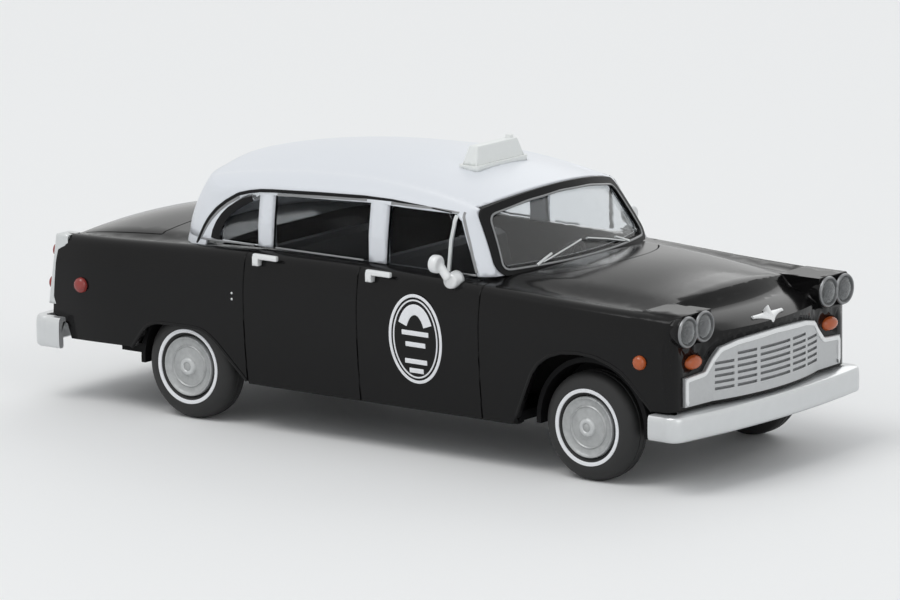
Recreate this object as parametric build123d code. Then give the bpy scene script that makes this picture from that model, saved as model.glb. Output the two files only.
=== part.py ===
from build123d import *
import math
import os

# Miniature taxi cab, a plastic collector's model at one to eighty-seven.
# Millimetres. +X is forward, +Y is the cab's left, +Z is up, and Z = 0 is the
# surface it stands on. The pieces are drawn from a datum a little behind the
# middle of the cab, and moved at the end so that X = 0 is half way between the
# two bumper faces.

# Driving dimensions
SCALE = 87.0
WHEELBASE = 3048.0 / SCALE
LENGTH = 58.0
DATUM_AHEAD = 0.3
WHEELS_AHEAD = 2.2
BODY_HALF = 10.9
WALL = 0.6
BELT_Z = 13.0
SILL_Z = 3.3
WIDE_Z = 9.9
SILL_TUCK = 0.55
BEYOND_Y = 12.0
ABOVE_Z = 15.0

# Wheels and axles
TYRE_R = 3.8
TYRE_FACE_Y = 10.2
TYRE_WIDTH = 2.2
RIM_R = 2.15
PIN_R = 0.6
PIN_PLAY = 0.05
BEARING_Y = 6.3
BEARING_WIDTH = 1.3

# Chassis and interior levels
CHASSIS_LOW = 3.45
CHASSIS_TOP = 4.1
FLOOR_TOP = 4.6
WELL_R = 4.75
GUARD_WALL = 0.35
GUARD_IN_Y = 7.0
GUARD_OUT_Y = 9.6
GUARD_TOP = 9.0
BOSS_Z = 2.85
UNDER_EASE = 0.12

FRONT_X = WHEELS_AHEAD + WHEELBASE / 2
REAR_X = WHEELS_AHEAD - WHEELBASE / 2
FRONT_FACE_X = LENGTH / 2 - DATUM_AHEAD
REAR_FACE_X = LENGTH / 2 + DATUM_AHEAD


# Body sections, one row a station:
# x, half width, fender crown z, valley y, valley z, lid edge y, lid edge z, middle z
SECTIONS = [
    (-28.0, 10.20, 11.90, 8.60, 11.50, 7.30, 11.50, 11.80),
    (-25.0, 10.60, 12.10, 8.60, 11.85, 7.40, 12.15, 12.65),
    (-19.0, 10.82, 12.35, 8.70, 12.20, 7.50, 12.65, 13.10),
    (-11.0, BODY_HALF, 12.72, 8.80, 12.75, 7.60, 12.92, 13.10),
    (-1.0, BODY_HALF, 12.90, 8.90, 13.00, 7.60, 13.05, 13.10),
    (9.0, BODY_HALF, 12.75, 8.80, 12.85, 7.50, 13.05, 13.20),
    (15.5, 10.87, 12.48, 8.60, 12.45, 6.90, 12.98, 13.42),
    (21.5, 10.75, 12.28, 8.40, 12.05, 6.20, 12.62, 13.20),
    (28.6, 10.35, 11.95, 8.20, 11.52, 5.40, 11.95, 12.45),
]

# Greenhouse wall outlines, one row a level: z, front middle x, front corner x
# and y, half width, x where the rear corner starts, rear corner radius, rear x
LEVELS = [
    (BELT_Z, 12.5, 10.9, 8.75, 9.55, -13.6, 4.0, -18.6),
    (15.2, 11.35, 9.75, 8.30, 9.35, -13.1, 3.9, -17.9),
    (17.0, 10.2, 8.6, 7.85, 9.10, -12.2, 3.8, -16.8),
    (19.6, 8.6, 7.0, 7.10, 8.70, -10.2, 3.6, -14.4),
]
CORNER_BACK = 1.3

# Roof crown, one row a station: x, height in the middle
CROWN = [(-20.0, 16.6), (-14.0, 18.4), (-8.0, 19.22), (0.0, 19.4), (6.0, 18.75), (13.0, 17.2)]
CROWN_HALF = 9.5
CROWN_FLAT = 7.2
CROWN_DROP = 1.0
SHOULDER_DROP = 1.9
SHOULDER_OUT, SHOULDER_DOWN = 1.62, 0.62


def mirror_y(shape):
    """The same piece on the other side of the middle plane."""
    return mirror(shape, Plane.XZ)


def arc(p, q, bulge):
    """Arc in a plane of constant x from p to q, its middle moved by bulge to the left of p to q."""
    run = Vector(*q) - Vector(*p)
    middle = (Vector(*p) + Vector(*q)) / 2
    side = Vector(0, -run.Z, run.Y).normalized()
    return ThreePointArc(p, middle + side * bulge, q)


def body_section(row, inset, low):
    """Closed face across the body at one station, moved inwards by inset."""
    x, half, crown, valley_y, valley_z, lid_y, lid_z, middle = row
    right = [
        (x, half - SILL_TUCK - inset, low),
        (x, half - inset, WIDE_Z),
        (x, half - 0.25 - inset, crown - 0.8 - inset / 2),
        (x, half - 1.0 - inset / 2, crown - inset),
        (x, valley_y, valley_z - inset),
        (x, lid_y, lid_z - inset),
    ]
    left = [(p[0], -p[1], p[2]) for p in right]
    bulges = [-0.12, -0.04, -0.2, 0.0, 0.0]
    edges = []
    for i, bulge in enumerate(bulges):
        edges.append(arc(right[i], right[i + 1], bulge) if bulge else Line(right[i], right[i + 1]))
    edges.append(ThreePointArc(right[-1], (x, 0, middle - inset), left[-1]))
    for i in reversed(range(len(bulges))):
        edges.append(arc(left[i + 1], left[i], bulges[i]) if bulges[i] else Line(left[i + 1], left[i]))
    edges.append(Line(left[0], right[0]))
    return Face(Wire(edges))


def wall_section(row, inset):
    """Closed level outline of the greenhouse, moved inwards by inset."""
    z, nose, corner_x, corner_y, half, turn_x, radius, tail = row
    nose, corner_x, corner_y = nose - inset, corner_x - inset, corner_y - inset / 2
    half, radius, tail = half - inset, radius - inset, tail + inset
    back_x = corner_x - CORNER_BACK
    diagonal = radius * math.sqrt(0.5)
    middle_x = (back_x + turn_x) / 2

    def side(sign):
        return [
            ThreePointArc(
                (corner_x, sign * corner_y, z),
                (corner_x - CORNER_BACK * 0.38, sign * (corner_y * 0.42 + half * 0.58), z),
                (back_x, sign * half, z),
            ),
            ThreePointArc(
                (back_x, sign * half, z),
                (middle_x, sign * (half + 0.12), z),
                (turn_x, sign * half, z),
            ),
            ThreePointArc(
                (turn_x, sign * half, z),
                (turn_x - diagonal, sign * (half - radius + diagonal), z),
                (turn_x - radius, sign * (half - radius), z),
            ),
        ]

    edges = side(1)
    edges.append(ThreePointArc(
        (turn_x - radius, half - radius, z), (tail, 0, z), (turn_x - radius, radius - half, z)))
    edges += side(-1)
    edges.append(ThreePointArc((corner_x, -corner_y, z), (nose, 0, z), (corner_x, corner_y, z)))
    return Face(Wire.combine(edges)[0])


def body_hull(inset, low):
    """Loft of the body sections."""
    return loft([body_section(row, inset, low) for row in SECTIONS])


def walls(inset):
    """Loft of the greenhouse outlines, straight down a little below the belt."""
    return loft([wall_section(row, inset) for row in LEVELS])


def crown(inset):
    """Everything under the crowned roof: a flat middle arc and a rounder shoulder on each side."""
    faces = []
    low = BELT_Z - 2
    flat, half = CROWN_FLAT - inset / 2, CROWN_HALF - inset
    for x, top in CROWN:
        middle = top - inset
        edge = middle - CROWN_DROP
        shoulder = [(x, flat, edge), (x, CROWN_FLAT + SHOULDER_OUT - inset * 0.8, edge - SHOULDER_DOWN),
                    (x, half, edge - SHOULDER_DROP)]
        across = [(q[0], -q[1], q[2]) for q in shoulder]
        faces.append(Face(Wire([
            ThreePointArc(across[0], (x, 0, middle), shoulder[0]),
            ThreePointArc(*shoulder),
            Line(shoulder[2], (x, half, low)),
            Line((x, half, low), (x, -half, low)),
            Line((x, -half, low), across[2]),
            ThreePointArc(across[2], across[1], across[0]),
        ])))
    return loft(faces)


def slab(x0, x1, y0, y1, z0, z1):
    """Box between two corners."""
    return Pos((x0 + x1) / 2, (y0 + y1) / 2, (z0 + z1) / 2) * Box(x1 - x0, y1 - y0, z1 - z0)


def side_cut(edges, y0, y1):
    """Prism across the body from an outline of edges in the XZ plane."""
    face = Face(Wire.combine(edges)[0])
    return Pos(0, y0, 0) * extrude(face, amount=y1 - y0, dir=(0, 1, 0))


def polygon_xz(points):
    """Edges of a closed polygon in the XZ plane at y = 0."""
    ring = points + points[:1]
    return [Line((a[0], 0, a[1]), (b[0], 0, b[1])) for a, b in zip(ring, ring[1:])]


def side_profile():
    """Outline of the body from the side, with both wheel arches open."""
    def p(x, z):
        return (x, 0, z)
    edges = [
        Line(p(-26.3, 5.6), p(-27.75, 6.2)),
        Line(p(-27.75, 6.2), p(-26.95, 12.0)),
        Line(p(-26.95, 12.0), p(-26.8, 15.0)),
        Line(p(-26.8, 15.0), p(30.0, 15.0)),
        Line(p(30.0, 15.0), p(30.0, 5.65)),
        Line(p(30.0, 5.65), p(25.3, 5.65)),
        Line(p(25.3, 5.65), p(23.6, 7.5)),
        ThreePointArc(p(23.6, 7.5), p(22.0, 8.55), p(19.4, 9.03)),
        ThreePointArc(p(19.4, 9.03), p(16.85, 8.5), p(15.4, 7.1)),
        Line(p(15.4, 7.1), p(13.9, 3.9)),
        Line(p(13.9, 3.9), p(13.5, SILL_Z)),
        Line(p(13.5, SILL_Z), p(-9.6, SILL_Z)),
        Line(p(-9.6, SILL_Z), p(-12.2, 5.9)),
        ThreePointArc(p(-12.2, 5.9), p(-13.2, 6.6), p(-14.6, 6.85)),
        Line(p(-14.6, 6.85), p(-17.4, 6.8)),
        ThreePointArc(p(-17.4, 6.8), p(-18.4, 6.55), p(-19.1, 5.95)),
        Line(p(-19.1, 5.95), p(-20.1, 4.7)),
        Line(p(-20.1, 4.7), p(-26.0, 4.55)),
        Line(p(-26.0, 4.55), p(-26.3, 5.6)),
    ]
    return side_cut(edges, -BEYOND_Y, BEYOND_Y)


# Nose in plan
NOSE_MIDDLE = 28.0
NOSE_SIDE = 26.95
POD_FACE = 27.35
POD_IN, POD_OUT = 6.35, 10.2
POD_LOW, POD_TOP = 10.1, 12.3


def nose_plan():
    """Outline from above that trims the front of the body, a bow between flat cheeks."""
    z = 0
    edges = [
        ThreePointArc((27.1, -6.2, z), (NOSE_MIDDLE, 0, z), (27.1, 6.2, z)),
        Line((27.1, 6.2, z), (NOSE_SIDE, 9.4, z)),
        ThreePointArc((NOSE_SIDE, 9.4, z), (26.65, 10.15, z), (25.8, 10.75, z)),
        Line((25.8, 10.75, z), (24.0, 12.0, z)),
        Line((24.0, 12.0, z), (-30.0, 12.0, z)),
        Line((-30.0, 12.0, z), (-30.0, -12.0, z)),
        Line((-30.0, -12.0, z), (24.0, -12.0, z)),
        Line((24.0, -12.0, z), (25.8, -10.75, z)),
        ThreePointArc((25.8, -10.75, z), (26.65, -10.15, z), (NOSE_SIDE, -9.4, z)),
        Line((NOSE_SIDE, -9.4, z), (27.1, -6.2, z)),
    ]
    return extrude(Face(Wire.combine(edges)[0]), amount=20, dir=(0, 0, 1))


def pod():
    """Housing round one side's twin headlamps, standing a little ahead of the fender."""
    points = [(POD_IN, POD_LOW + 0.5), (POD_IN + 0.5, POD_LOW), (POD_OUT - 0.6, POD_LOW),
              (POD_OUT, POD_LOW + 0.7), (POD_OUT, POD_TOP - 0.7), (POD_OUT - 0.6, POD_TOP),
              (POD_IN, POD_TOP)]
    ring = points + points[:1]
    face = Face(Wire([Line((24.0, a[0], a[1]), (24.0, b[0], b[1])) for a, b in zip(ring, ring[1:])]))
    return extrude(face, amount=POD_FACE - 24.0, dir=(1, 0, 0))


NOSE_AXIS_X = 6.2
NOSE_SWEEP = 50.0


def nose_drop():
    """What is cut away above the nose between the two pods: a side outline swept round an upright axis."""
    edges = [
        ThreePointArc((28.9, 0, 9.75), (27.7, 0, 10.78), (26.2, 0, 11.45)),
        ThreePointArc((26.2, 0, 11.45), (25.65, 0, 11.75), (25.35, 0, 12.25)),
        ThreePointArc((25.35, 0, 12.25), (24.95, 0, 12.8), (24.0, 0, 13.1)),
        Line((24.0, 0, 13.1), (24.0, 0, 15.0)),
        Line((24.0, 0, 15.0), (29.6, 0, 15.0)),
        Line((29.6, 0, 15.0), (29.6, 0, 9.75)),
        Line((29.6, 0, 9.75), (28.9, 0, 9.75)),
    ]
    upright = Axis((NOSE_AXIS_X, 0, 0), (0, 0, 1))
    face = Face(Wire.combine(edges)[0]).rotate(upright, -NOSE_SWEEP / 2)
    return revolve(face, upright, NOSE_SWEEP) & slab(20, 30, -POD_IN, POD_IN, 9, 15)


# Windows, as (x, z) corners on the side of the greenhouse
WINDOW_IN_Y = 6.0
REAR_DOOR_WINDOW = [(-8.15, 12.5), (0.45, 12.5), (0.45, 17.1), (-8.15, 16.7)]
FRONT_DOOR_WINDOW = [(1.9, 12.5), (10.1, 12.5), (9.5, 13.9), (8.1, 16.6), (7.5, 17.0), (1.9, 17.1)]


def quarter_window():
    """Edges of the small rear window with its curved back."""
    return [
        Line((-9.35, 0, 12.5), (-9.35, 0, 16.75)),
        ThreePointArc((-9.35, 0, 16.75), (-11.95, 0, 15.5), (-13.0, 0, 13.3)),
        Line((-13.0, 0, 13.3), (-13.0, 0, 12.5)),
        Line((-13.0, 0, 12.5), (-9.35, 0, 12.5)),
    ]


def side_windows():
    """Prisms that cut the windows of both sides."""
    cuts = []
    for sign in (-1, 1):
        y0, y1 = (WINDOW_IN_Y, BEYOND_Y) if sign > 0 else (-BEYOND_Y, -WINDOW_IN_Y)
        cuts.append(side_cut(polygon_xz(REAR_DOOR_WINDOW), y0, y1))
        cuts.append(side_cut(polygon_xz(FRONT_DOOR_WINDOW), y0, y1))
        cuts.append(side_cut(quarter_window(), y0, y1))
    return cuts


def end_window(x0, x1, low, high, half_low, half_high, crown_up, corner):
    """Prism along the cab that cuts the windscreen or the rear window, with round corners."""
    face = Face(Wire([
        Line((x0, half_low, low), (x0, half_high, high)),
        ThreePointArc((x0, half_high, high), (x0, 0, high + crown_up), (x0, -half_high, high)),
        Line((x0, -half_high, high), (x0, -half_low, low)),
        Line((x0, -half_low, low), (x0, half_low, low)),
    ]))
    prism = extrude(face, amount=x1 - x0, dir=(1, 0, 0))
    return fillet([e for e in prism.edges() if e.length > 0.9 * (x1 - x0) and abs(e.tangent_at(0).X) > 0.99],
                  corner)


# End windows: x0, x1, low z, high z, half width low and high, rise of the top edge, corner radius
SCREEN = (5.0, 14.0, 13.45, 16.75, 8.0, 7.05, 0.75, 0.5)
SCREEN_FRAME = (5.0, 14.0, 12.9, 17.2, 8.75, 7.75, 0.85, 0.9)
BACKLIGHT = (-20.0, -10.0, 13.7, 16.4, 7.2, 6.2, 0.5, 0.8)
REBATE = 0.3
SEAL_PROUD = 0.12
PANE_OUT, PANE_IN = 0.12, 0.5


# Shut lines cut in the skin, one row a line: x of the upright door cuts
DOOR_CUTS = [-9.7, 0.35, 10.95]
GAP = 0.14
GAP_DEPTH = 0.16
CUT_IN_Y = 9.5
CUT_TOP_Z = 12.75
LID_HALF = 7.9
LID_FRONT_X, LID_REAR_X = -19.4, -26.4
COWL_X = 15.9
COWL_BOW = 2.4
COWL_HALF = 6.7


def shut_lines():
    """Thin blades that cut the door, boot and bonnet gaps into the outer skin."""
    blades = []
    for x in DOOR_CUTS:
        for sign in (-1, 1):
            y0, y1 = (CUT_IN_Y, BEYOND_Y) if sign > 0 else (-BEYOND_Y, -CUT_IN_Y)
            blades.append(slab(x - GAP / 2, x + GAP / 2, y0, y1, SILL_Z - 1, CUT_TOP_Z))
    for sign in (-1, 1):
        y = sign * LID_HALF
        blades.append(slab(LID_REAR_X, LID_FRONT_X, y - GAP / 2, y + GAP / 2, 11.0, 14.0))
    blades.append(slab(LID_FRONT_X - GAP / 2, LID_FRONT_X + GAP / 2, -LID_HALF, LID_HALF, 12.0, 14.0))
    ends = [(COWL_X - COWL_BOW, -COWL_HALF), (COWL_X, 0), (COWL_X - COWL_BOW, COWL_HALF)]
    outer = [(x, y, 12.0) for x, y in ends]
    inner = [(x - GAP, y, 12.0) for x, y in ends]
    bow = Face(Wire([ThreePointArc(*outer), Line(outer[2], inner[2]),
                     ThreePointArc(*reversed(inner)), Line(inner[0], outer[0])]))
    blades.append(extrude(bow, amount=3, dir=(0, 0, 1)))
    return blades


# The hollow inside: its ends, the thicker stuff behind the lamp pods, the cabin's ends
HULL_LOW = SILL_Z - 0.5
HOLLOW_LOW = SILL_Z - 1.0
HOLLOW_REAR_X, HOLLOW_FRONT_X = -26.0, 25.4
POD_BACK_X, POD_BACK_Z = 24.4, 9.5
CABIN_REAR_X, CABIN_FRONT_X = -13.2, 10.8
SEAT_PLAY = 0.02


def build_body():
    """Hollow lower moulding: fenders, doors, bonnet and boot, open under and into the cabin."""
    hull = body_hull(0, HULL_LOW) & side_profile() & nose_plan()
    hull -= nose_drop()
    for piece in (pod(), mirror_y(pod())):
        hull += piece
    cavity = body_hull(WALL, HOLLOW_LOW)
    cavity &= slab(HOLLOW_REAR_X, HOLLOW_FRONT_X, -BEYOND_Y, BEYOND_Y, 0, ABOVE_Z)
    cavity -= slab(POD_BACK_X, HOLLOW_FRONT_X + 1, -BEYOND_Y, BEYOND_Y, POD_BACK_Z, ABOVE_Z)
    hull -= cavity
    # Flat seat for the roof, and the way into the cabin
    hull -= extrude(wall_section(LEVELS[0], -SEAT_PLAY), amount=2, dir=(0, 0, 1))
    way_in = extrude(wall_section(LEVELS[0], WALL), amount=3, dir=(0, 0, -1))
    hull -= way_in & slab(CABIN_REAR_X, CABIN_FRONT_X, -BEYOND_Y, BEYOND_Y, 0, ABOVE_Z)
    skin = body_hull(GAP_DEPTH, HOLLOW_LOW)
    for blade in shut_lines():
        hull -= blade - skin
    return hull


def build_greenhouse():
    """Roof moulding with its pillars, as thick as the real wall, its windows cut."""
    outer = walls(0) & crown(0)
    inner = walls(WALL) & crown(WALL)
    shell = outer - inner
    for cut in side_windows():
        shell -= cut
    shell -= end_window(*SCREEN)
    shell -= end_window(*BACKLIGHT)
    return shell


# Half sections, one row a corner: radius, how far inside the tyre's outer face
TYRE_SECTION = [(RIM_R, 0.3), (2.9, 0.0), (3.4, 0.12), (TYRE_R, 0.55), (TYRE_R, TYRE_WIDTH - 0.5),
                (3.4, TYRE_WIDTH - 0.1), (2.6, TYRE_WIDTH), (RIM_R, TYRE_WIDTH - 0.2)]
PIN_END = 0.6
WHEEL_SECTION = [(0.0, PIN_END), (PIN_R, PIN_END), (PIN_R, 1.9), (RIM_R, 1.9), (RIM_R, 0.35), (2.0, 0.25),
                 (1.9, 0.05), (1.5, 0.12), (1.35, 0.0), (0.9, 0.02), (0.75, -0.12), (0.4, -0.2), (0.0, -0.22)]


def revolve_y(points, x, z):
    """Solid of revolution about the axle line from (radius, y) corners."""
    ring = points + points[:1]
    face = Face(Wire([Line((a[0], a[1], 0), (b[0], b[1], 0)) for a, b in zip(ring, ring[1:])]))
    return Pos(x, 0, z) * revolve(face, Axis.Y, 360)


def round_piece(section, x):
    """A tyre or a wheel from its half section. A wheel is pressed on the pin, with a blind domed cap."""
    return revolve_y([(radius, TYRE_FACE_Y - inside) for radius, inside in section], x, TYRE_R)


def build_pin(x):
    end = TYRE_FACE_Y - PIN_END
    return revolve_y([(0, -end), (PIN_R, -end), (PIN_R, end), (0, end)], x, TYRE_R)


def wheel_guard(x, sign):
    """Inner fender over one wheel: a round roof and an upright wall on its inner side."""
    y0, y1 = GUARD_IN_Y, GUARD_OUT_Y
    roof = Cylinder(WELL_R, y1 - y0) - Cylinder(WELL_R - GUARD_WALL, y1 - y0)
    wall = Pos(0, 0, sign * ((y1 - y0) / 2 - GUARD_WALL / 2)) * Cylinder(WELL_R, GUARD_WALL)
    guard = Pos(x, sign * (y0 + y1) / 2, TYRE_R) * Rot(90, 0, 0) * (roof + wall)
    return guard & slab(x - 6, x + 6, -BEYOND_Y, BEYOND_Y, CHASSIS_LOW, GUARD_TOP)


# Relief under the base plate, one row a block: x0, x1, half width, middle y, lowest z
UNDER_BLOCKS = [
    (13.6, 18.0, 1.7, 0.0, 2.75),
    (6.5, 13.6, 1.2, 0.0, 3.0),
    (-3.6, 3.6, 3.0, 0.0, BOSS_Z),
    (-13.6, -11.9, 0.9, 0.0, 2.95),
    (-23.4, -17.6, 3.2, 0.8, 2.95),
    (-13.4, 17.6, 0.45, 5.0, 3.05),
    (-13.4, 17.6, 0.45, -5.0, 3.05),
    (-9.6, 13.4, 0.35, 9.3, 3.1),
    (-9.6, 13.4, 0.35, -9.3, 3.1),
]
# Round bars lying along the cab, one row a bar: x0, x1, y, middle z, radius
UNDER_BARS = [
    (3.5, 6.6, 0.0, 3.4, 0.38),
    (-12.0, -3.5, 0.0, 3.4, 0.38),
    (-9.5, 15.0, -3.9, 3.3, 0.28),
    (-8.6, -4.4, -3.9, 3.45, 0.7),
]


def under_relief():
    """Sump, gearbox, shaft, tank, rails and exhaust, moulded with the base plate."""
    blocks = []
    for x0, x1, half, y, low in UNDER_BLOCKS:
        block = slab(x0, x1, y - half, y + half, low, CHASSIS_LOW + 0.2)
        blocks.append(chamfer(block.faces().sort_by(Axis.Z)[0].edges(), UNDER_EASE))
    for x0, x1, y, z, radius in UNDER_BARS:
        blocks.append(disc_x(x0, y, z, radius, x1 - x0))
    return blocks


# Base plate, one row a part of its outline: x0, x1, half width
PLATE = [(-9.9, 13.8, 9.9), (-24.0, 24.6, GUARD_IN_Y)]
AXLE_SLOT = 1.0
BEARING_HALF = 1.5
BEARING_LOW, BEARING_TOP = 2.6, 5.0


def build_chassis():
    """Base plate with its bearing blocks, inner fenders and underside relief."""
    wide, narrow = [slab(x0, x1, -half, half, CHASSIS_LOW, CHASSIS_TOP) for x0, x1, half in PLATE]
    plate = wide + narrow
    bore = PIN_R + PIN_PLAY
    for x in (FRONT_X, REAR_X):
        plate -= slab(x - AXLE_SLOT, x + AXLE_SLOT, -GUARD_IN_Y, GUARD_IN_Y, BEARING_LOW, BEARING_TOP)
        for sign in (-1, 1):
            y0, y1 = sign * BEARING_Y - BEARING_WIDTH / 2, sign * BEARING_Y + BEARING_WIDTH / 2
            plate += slab(x - BEARING_HALF, x + BEARING_HALF, y0, y1, BEARING_LOW, BEARING_TOP)
            plate += wheel_guard(x, sign)
        plate -= Pos(x, 0, TYRE_R) * Rot(90, 0, 0) * Cylinder(bore, 30)
    for piece in under_relief():
        plate += piece
    return plate


# Benches, one row a bench: name, rear x, front x, back x, cushion z, back z, half width
BENCHES = [
    ("front_bench", -2.6, 3.2, -1.6, 8.6, 12.3, 8.3),
    ("rear_bench", -11.6, -6.2, -10.8, 8.8, 12.2, 6.6),
]


def bench(x0, x1, back_x, cushion_z, back_z, half):
    """Bench seat: a cushion and a raked back in one outline, edges eased."""
    points = [(x0, FLOOR_TOP), (x1, FLOOR_TOP), (x1, cushion_z - 0.2), (x1 - 0.5, cushion_z),
              (back_x + 1.2, cushion_z - 0.3), (back_x + 0.5, back_z - 0.3), (back_x, back_z),
              (back_x - 0.9, back_z - 0.1), (x0, cushion_z)]
    seat = side_cut(polygon_xz(points), -half, half)
    ends = [e for e in seat.edges() if abs(abs(e.center().Y) - half) < 1e-6 and e.center().Z > cushion_z - 0.4]
    return fillet(ends, 0.25)


# Bulkhead and dashboard from the side, as (x, z) corners
DASH = [(10.2, FLOOR_TOP), (10.7, FLOOR_TOP), (10.7, 12.3), (8.6, 12.3), (8.1, 11.9), (8.4, 10.6), (10.2, 10.3)]
DASH_HALF = 8.6
FLOOR_BOX = (-10.2, 10.7, -9.3, 9.3)


def build_dash():
    """Bulkhead with the dashboard on it."""
    return side_cut(polygon_xz(DASH), -DASH_HALF, DASH_HALF)


# Round corner of a bumper in plan: its length, its width, how far in its middle lies
CORNER_LONG, CORNER_WIDE, CORNER_MID = 1.0, 0.75, 0.22


def bumper_plan(face, shoulder, half, back, thick, flange):
    """Level outline of a bumper: bowed face, rounded ends and short returns."""
    def line(inset):
        return [
            (back, half - inset),
            (shoulder - CORNER_LONG, half - inset),
            (shoulder - inset * 0.8, half - CORNER_WIDE - inset * 0.4),
            (face - inset, 0),
        ]
    outer, inner = line(0), line(thick)
    edges = []
    for sign in (1, -1):
        o = [(p[0], sign * p[1], flange) for p in outer]
        i = [(p[0], sign * p[1], flange) for p in inner]
        edges.append(Line(o[0], o[1]))
        edges.append(ThreePointArc(o[1], (shoulder - CORNER_MID, sign * (half - CORNER_MID), flange), o[2]))
        edges.append(Line(i[0], i[1]))
        edges.append(Line(i[1], i[2]))
        edges.append(Line(o[0], i[0]))
    edges.append(ThreePointArc((outer[2][0], outer[2][1], flange), (face, 0, flange),
                               (outer[2][0], -outer[2][1], flange)))
    edges.append(ThreePointArc((inner[2][0], inner[2][1], flange), (face - thick, 0, flange),
                               (inner[2][0], -inner[2][1], flange)))
    return Face(Wire.combine(edges)[0])


BUMPER_HALF = 11.0
BUMPER_THICK = 0.5
# Bumpers as seen from their own end of the cab: face x, shoulder x, back x, low z, high z
BUMPER_FRONT = (FRONT_FACE_X, 27.95, 25.4, 3.75, 5.5)
BUMPER_REAR = (REAR_FACE_X, 29.1, 26.5, 3.85, 6.05)
BRACKET_Y = 5.0
BRACKET_HALF = 0.7
BRACKET_X = 24.4
BRACKET_LOW, BRACKET_TOP = 3.9, 4.7


def bumper(face, shoulder, back, low, high):
    """Bumper at the front of the cab: bowed beam on two brackets."""
    beam = extrude(bumper_plan(face, shoulder, BUMPER_HALF, back, BUMPER_THICK, low),
                   amount=high - low, dir=(0, 0, 1))
    for y in (-BRACKET_Y, BRACKET_Y):
        beam += slab(BRACKET_X, face - BUMPER_THICK, y - BRACKET_HALF, y + BRACKET_HALF, BRACKET_LOW, BRACKET_TOP)
    return beam


# Grille panels, one row a panel: inner y, outer y, top z (mirrored but the middle one)
PANELS = [(-1.75, 1.75, 9.3), (2.1, 4.0, 9.2), (4.3, 6.0, 8.75)]
PANEL_LOW = 6.6
BAR_PITCH = 0.44
SLOT = 0.2


def bow_block(proud):
    """Everything behind a surface bowed like the nose and standing proud of it."""
    z = 5.0
    outline = [
        ThreePointArc((27.15 + proud, -6.2, z), (NOSE_MIDDLE + 0.05 + proud, 0, z), (27.15 + proud, 6.2, z)),
        Line((27.15 + proud, 6.2, z), (NOSE_SIDE + proud, 9.8, z)),
        Line((NOSE_SIDE + proud, 9.8, z), (20.0, 9.8, z)),
        Line((20.0, 9.8, z), (20.0, -9.8, z)),
        Line((20.0, -9.8, z), (NOSE_SIDE + proud, -9.8, z)),
        Line((NOSE_SIDE + proud, -9.8, z), (27.15 + proud, -6.2, z)),
    ]
    return extrude(Face(Wire.combine(outline)[0]), amount=6, dir=(0, 0, 1))


# Half outline of the grille plate as (y, z) corners, and the top of its arch
GRILLE_HALF = [(9.1, 5.9), (9.1, 7.9), (7.0, 8.05), (6.4, 8.7), (5.6, 9.5), (4.0, 9.82)]
GRILLE_TOP = 10.0
GRILLE_BACK_X = 24.0
GRILLE_PROUD, GRILLE_LET_IN, SLOT_FLOOR = 0.2, 0.35, 0.12


def grille_plate():
    """Arched plate with wings, bowed like the nose and let into it."""
    edges = []
    rows = []
    for sign in (1, -1):
        corners = [(GRILLE_BACK_X, sign * y, z) for y, z in GRILLE_HALF]
        edges += [Line(a, b) for a, b in zip(corners, corners[1:])]
        rows.append(corners)
    left, right = rows
    edges.append(ThreePointArc(left[-1], (GRILLE_BACK_X, 0, GRILLE_TOP), right[-1]))
    edges.append(Line(left[0], right[0]))
    plate = extrude(Face(Wire.combine(edges)[0]), amount=6, dir=(1, 0, 0))
    return plate & (bow_block(GRILLE_PROUD) - bow_block(-GRILLE_LET_IN))


def build_grille(plate):
    """The plate with its slots cut between level bars."""
    slots = []
    for inner, outer, top in PANELS:
        for low_y, high_y in {(inner, outer), (-outer, -inner)}:
            for i in range(int((top - PANEL_LOW - SLOT) / BAR_PITCH) + 1):
                z = PANEL_LOW + i * BAR_PITCH
                slots.append(slab(GRILLE_BACK_X, FRONT_FACE_X, low_y, high_y, z, z + SLOT))
    cutter = slots[0].fuse(*slots[1:])
    return plate - (cutter & (bow_block(GRILLE_PROUD + SLOT) - bow_block(-SLOT_FLOOR)))


def disc_x(x, y, z, radius, length):
    """Short cylinder along X from x forwards."""
    return Pos(x + length / 2, y, z) * Rot(0, 90, 0) * Cylinder(radius, length)


# Twin headlamps of one side, one row a lamp: y, z
LAMPS = [(9.2, 11.15), (7.3, 11.25)]
LAMP_R = 0.92
LAMP_RIM = 0.16
LAMP_DOME = 0.25
RIM_BACK_X, RIM_FLOOR_X, LENS_BACK_X = 27.0, 27.25, 27.2
RIM_LONG, LENS_LONG = 0.6, 0.45


def build_headlamp_bezel():
    """Rim plate of one side's twin lamps, seated in the pod."""
    rims = [disc_x(RIM_BACK_X, y, z, LAMP_R + LAMP_RIM, RIM_LONG) for y, z in LAMPS]
    plate = rims[0] + rims[1]
    for y, z in LAMPS:
        plate -= disc_x(RIM_FLOOR_X, y, z, LAMP_R, RIM_LONG)
    return plate


def build_headlamp_lens():
    """Two lenses inside the rims, their front edges rounded."""
    lenses = []
    for y, z in LAMPS:
        lens = disc_x(LENS_BACK_X, y, z, LAMP_R, LENS_LONG)
        lenses.append(fillet(lens.edges().sort_by(Axis.X)[-1:], LAMP_DOME))
    return Compound(lenses)


# Front turn lamp: middle y and z, half width and height, back x, depth, edge rounding
TURN_Y, TURN_Z = 8.0, 8.85
TURN_HALF, TURN_TALL = 0.88, 0.5
TURN_BACK_X, TURN_LONG, TURN_DOME = 26.4, 1.05, 0.2


def build_signal():
    """Oval front turn lamp with a rounded front edge."""
    oval = Plane.YZ.offset(TURN_BACK_X) * Pos(TURN_Y, TURN_Z) * Ellipse(TURN_HALF, TURN_TALL)
    lamp = extrude(oval, amount=TURN_LONG)
    return fillet(lamp.edges().sort_by(Axis.X)[-1:], TURN_DOME)


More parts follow.
